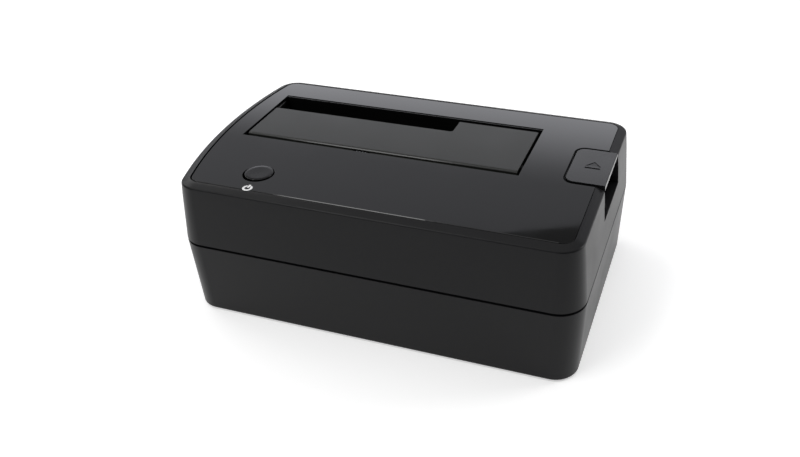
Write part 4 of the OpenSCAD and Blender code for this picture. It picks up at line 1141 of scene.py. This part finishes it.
# Studio: the object stands on white paper, in front of a white wall with a slanted upper edge. Softboxes
# stand behind it on both sides, and a weak one and a strip light at the front left.
floor_side = 6
fibre_size = 2 * MM
fibre_rise = 0.01 * MM
wall_y = 1.5
wall_half = 2.2
wall_top = 1.2
wall_right_top = 0.9
wall_slant_from = -0.62
wall_slant_to = 0.34
wall_low_light = 1.95
wall_top_light = 0.5
wall_fade = (0.735, 0.965)
wall_foot = (0.4, 0.7)
wall_foot_share = 0.1
floor_glow = 0.42

bpy.ops.object.select_all(action="DESELECT")
bpy.ops.mesh.primitive_plane_add(size=floor_side)
floor = bpy.context.object
floor.name = "paper_floor"
# Matt white paper: a faint fibre, and a glow of its own to the eye and in reflections, so that it stays white
paper = new_material("white_paper")
place = add(paper, "ShaderNodeTexCoord")
fibre = add(paper, "ShaderNodeTexNoise", {"Scale": 1 / fibre_size}, {"Vector": place.outputs["Object"]})
bump = add(paper, "ShaderNodeBump", {"Strength": 0.05, "Distance": fibre_rise},
           {"Height": fibre.outputs["Fac"]})
path = add(paper, "ShaderNodeLightPath")
seen = add(paper, "ShaderNodeMath", {"operation": "MAXIMUM"},
           {0: path.outputs["Is Camera Ray"], 1: path.outputs["Is Glossy Ray"]})
seen = add(paper, "ShaderNodeMath", {"operation": "MAXIMUM"},
           {0: seen.outputs["Value"], 1: path.outputs["Is Transmission Ray"]})
glow = add(paper, "ShaderNodeMath", {"operation": "MULTIPLY", 1: floor_glow}, {0: seen.outputs["Value"]})
shade = add(paper, "ShaderNodeBsdfPrincipled",
            {"Base Color": linear("#f8f8f8"), "Roughness": 0.9, "Emission Color": linear("#ffffff")},
            {"Normal": bump.outputs["Normal"], "Emission Strength": glow.outputs["Value"]})
add(paper, "ShaderNodeOutputMaterial", {}, {"Surface": shade.outputs["BSDF"]})
dress(floor, paper)

wall = draw("light_wall", (-wall_half, wall_y, 0), [
    (wall_half, wall_y, 0),
    (wall_half, wall_y, wall_right_top),
    (wall_slant_to, wall_y, wall_right_top),
    (wall_slant_from, wall_y, wall_top),
    (-wall_half, wall_y, wall_top),
], FRONT)
bpy.ops.object.mode_set(mode="OBJECT")
# A white wall lit in a band: dim at its foot, brightest about 0.7 m up, and fading above
wall_glow = new_material("lit_white_wall")
place = add(wall_glow, "ShaderNodeTexCoord")
height = add(wall_glow, "ShaderNodeSeparateXYZ", {}, {"Vector": place.outputs["Object"]})
fade = add(wall_glow, "ShaderNodeMapRange",
           {"interpolation_type": "SMOOTHSTEP", "From Min": wall_fade[0], "From Max": wall_fade[1],
            "To Min": wall_low_light, "To Max": wall_top_light}, {"Value": height.outputs["Z"]})
foot = add(wall_glow, "ShaderNodeMapRange",
           {"interpolation_type": "SMOOTHSTEP", "From Min": wall_foot[0], "From Max": wall_foot[1],
            "To Min": wall_foot_share, "To Max": 1.0}, {"Value": height.outputs["Z"]})
strength = add(wall_glow, "ShaderNodeMath", {"operation": "MULTIPLY"},
               {0: fade.outputs["Result"], 1: foot.outputs["Result"]})
light = add(wall_glow, "ShaderNodeEmission", {"Color": linear("#f8f9ff")},
            {"Strength": strength.outputs["Value"]})
add(wall_glow, "ShaderNodeOutputMaterial", {}, {"Surface": light.outputs["Emission"]})
dress(wall, wall_glow)


def softbox(name, direction, distance, side, radiance):
    """A square lamp in that direction from the object, turned to face it, of an even radiance."""
    data = bpy.data.lights.new(name, "AREA")
    data.size = side
    data.energy = radiance * math.pi * side * side
    lamp = bpy.data.objects.new(name, data)
    lamp.location = Vector(direction).normalized() * distance
    lamp.rotation_euler = Vector(direction).to_track_quat("Z", "Y").to_euler()
    bpy.context.scene.collection.objects.link(lamp)


softbox("left_softbox", (-0.75, 0.35, 0.62), distance=1.3, side=0.6, radiance=2.5)
softbox("front_softbox", (-0.6, -0.5, 0.62), distance=1.6, side=1.0, radiance=0.3)
softbox("right_softbox", (0.75, 0.5, 0.42), distance=1.3, side=0.5, radiance=5.9)
strip_w = 0.26
strip_l = 1.2
strip_distance = 1.3
strip_radiance = 4.2
strip_way = Vector((-0.375, -0.53, 0.76)).normalized()
strip_along = Vector((0, strip_way.z, -strip_way.y)).normalized()
strip_turn = Matrix((strip_along.cross(strip_way), strip_along, strip_way)).transposed().to_4x4()
strip_data = bpy.data.lights.new("strip_light", "AREA")
strip_data.shape = "RECTANGLE"
strip_data.size = strip_w
strip_data.size_y = strip_l
strip_data.energy = strip_radiance * math.pi * strip_w * strip_l
strip = bpy.data.objects.new("strip_light", strip_data)
strip.matrix_world = Matrix.Translation(strip_way * strip_distance) @ strip_turn
bpy.context.scene.collection.objects.link(strip)

# Room: dim white surroundings, a little lighter on the left and brighter overhead. They light the object
# weakly from all sides, and show in its gloss.
room_left = 0.14
room_right = 0.08
room_top = 0.8
overhead = (0.6, 0.95)
room = bpy.data.worlds.new("studio_room")
room.use_nodes = True
room.node_tree.nodes.clear()
place = add(room, "ShaderNodeTexCoord")
way = add(room, "ShaderNodeSeparateXYZ", {}, {"Vector": place.outputs["Generated"]})
side = add(room, "ShaderNodeMapRange",
           {"From Min": -1.0, "From Max": 1.0, "To Min": room_left, "To Max": room_right},
           {"Value": way.outputs["X"]})
above = add(room, "ShaderNodeMapRange",
            {"interpolation_type": "SMOOTHSTEP", "From Min": overhead[0], "From Max": overhead[1],
             "To Min": 0.0, "To Max": room_top}, {"Value": way.outputs["Z"]})
level = add(room, "ShaderNodeMath", {"operation": "ADD"},
            {0: side.outputs["Result"], 1: above.outputs["Result"]})
sky = add(room, "ShaderNodeBackground", {"Color": linear("#ffffff")}, {"Strength": level.outputs["Value"]})
add(room, "ShaderNodeOutputWorld", {}, {"Surface": sky.outputs["Background"]})
bpy.context.scene.world = room

# Camera: it stands where the photograph was taken from, to the right and above. The picture's centre lies off
# the lens's axis, and the horizon is turned a little.
picture_w = 800
picture_h = 457
focal_length = 852.2
axis_x = 450.2
axis_y = 220.4
azimuth = math.radians(19.704)
elevation = math.radians(33.015)
roll = math.radians(-1.445)
camera_place = Vector((103.92, -243.85, 192.90)) * MM
camera_data = bpy.data.cameras.new("camera")
camera_data.lens = camera_data.sensor_width * focal_length / picture_w
camera_data.shift_x = (picture_w / 2 - axis_x) / picture_w
camera_data.shift_y = (axis_y - picture_h / 2) / picture_w
camera_data.clip_start = 0.01
flat_back = Vector((math.sin(azimuth), -math.cos(azimuth), 0))
back = math.cos(elevation) * flat_back + math.sin(elevation) * Vector(UP)
right = Vector((math.cos(azimuth), math.sin(azimuth), 0))
up = back.cross(right)
tilt_right = math.cos(roll) * right + math.sin(roll) * up
tilt_up = math.cos(roll) * up - math.sin(roll) * right
camera_turn = Matrix((tilt_right, tilt_up, back)).transposed().to_4x4()
camera = bpy.data.objects.new("camera", camera_data)
camera.matrix_world = Matrix.Translation(camera_place) @ camera_turn
bpy.context.scene.collection.objects.link(camera)
bpy.context.scene.camera = camera
bpy.context.scene.view_settings.view_transform = "Standard"
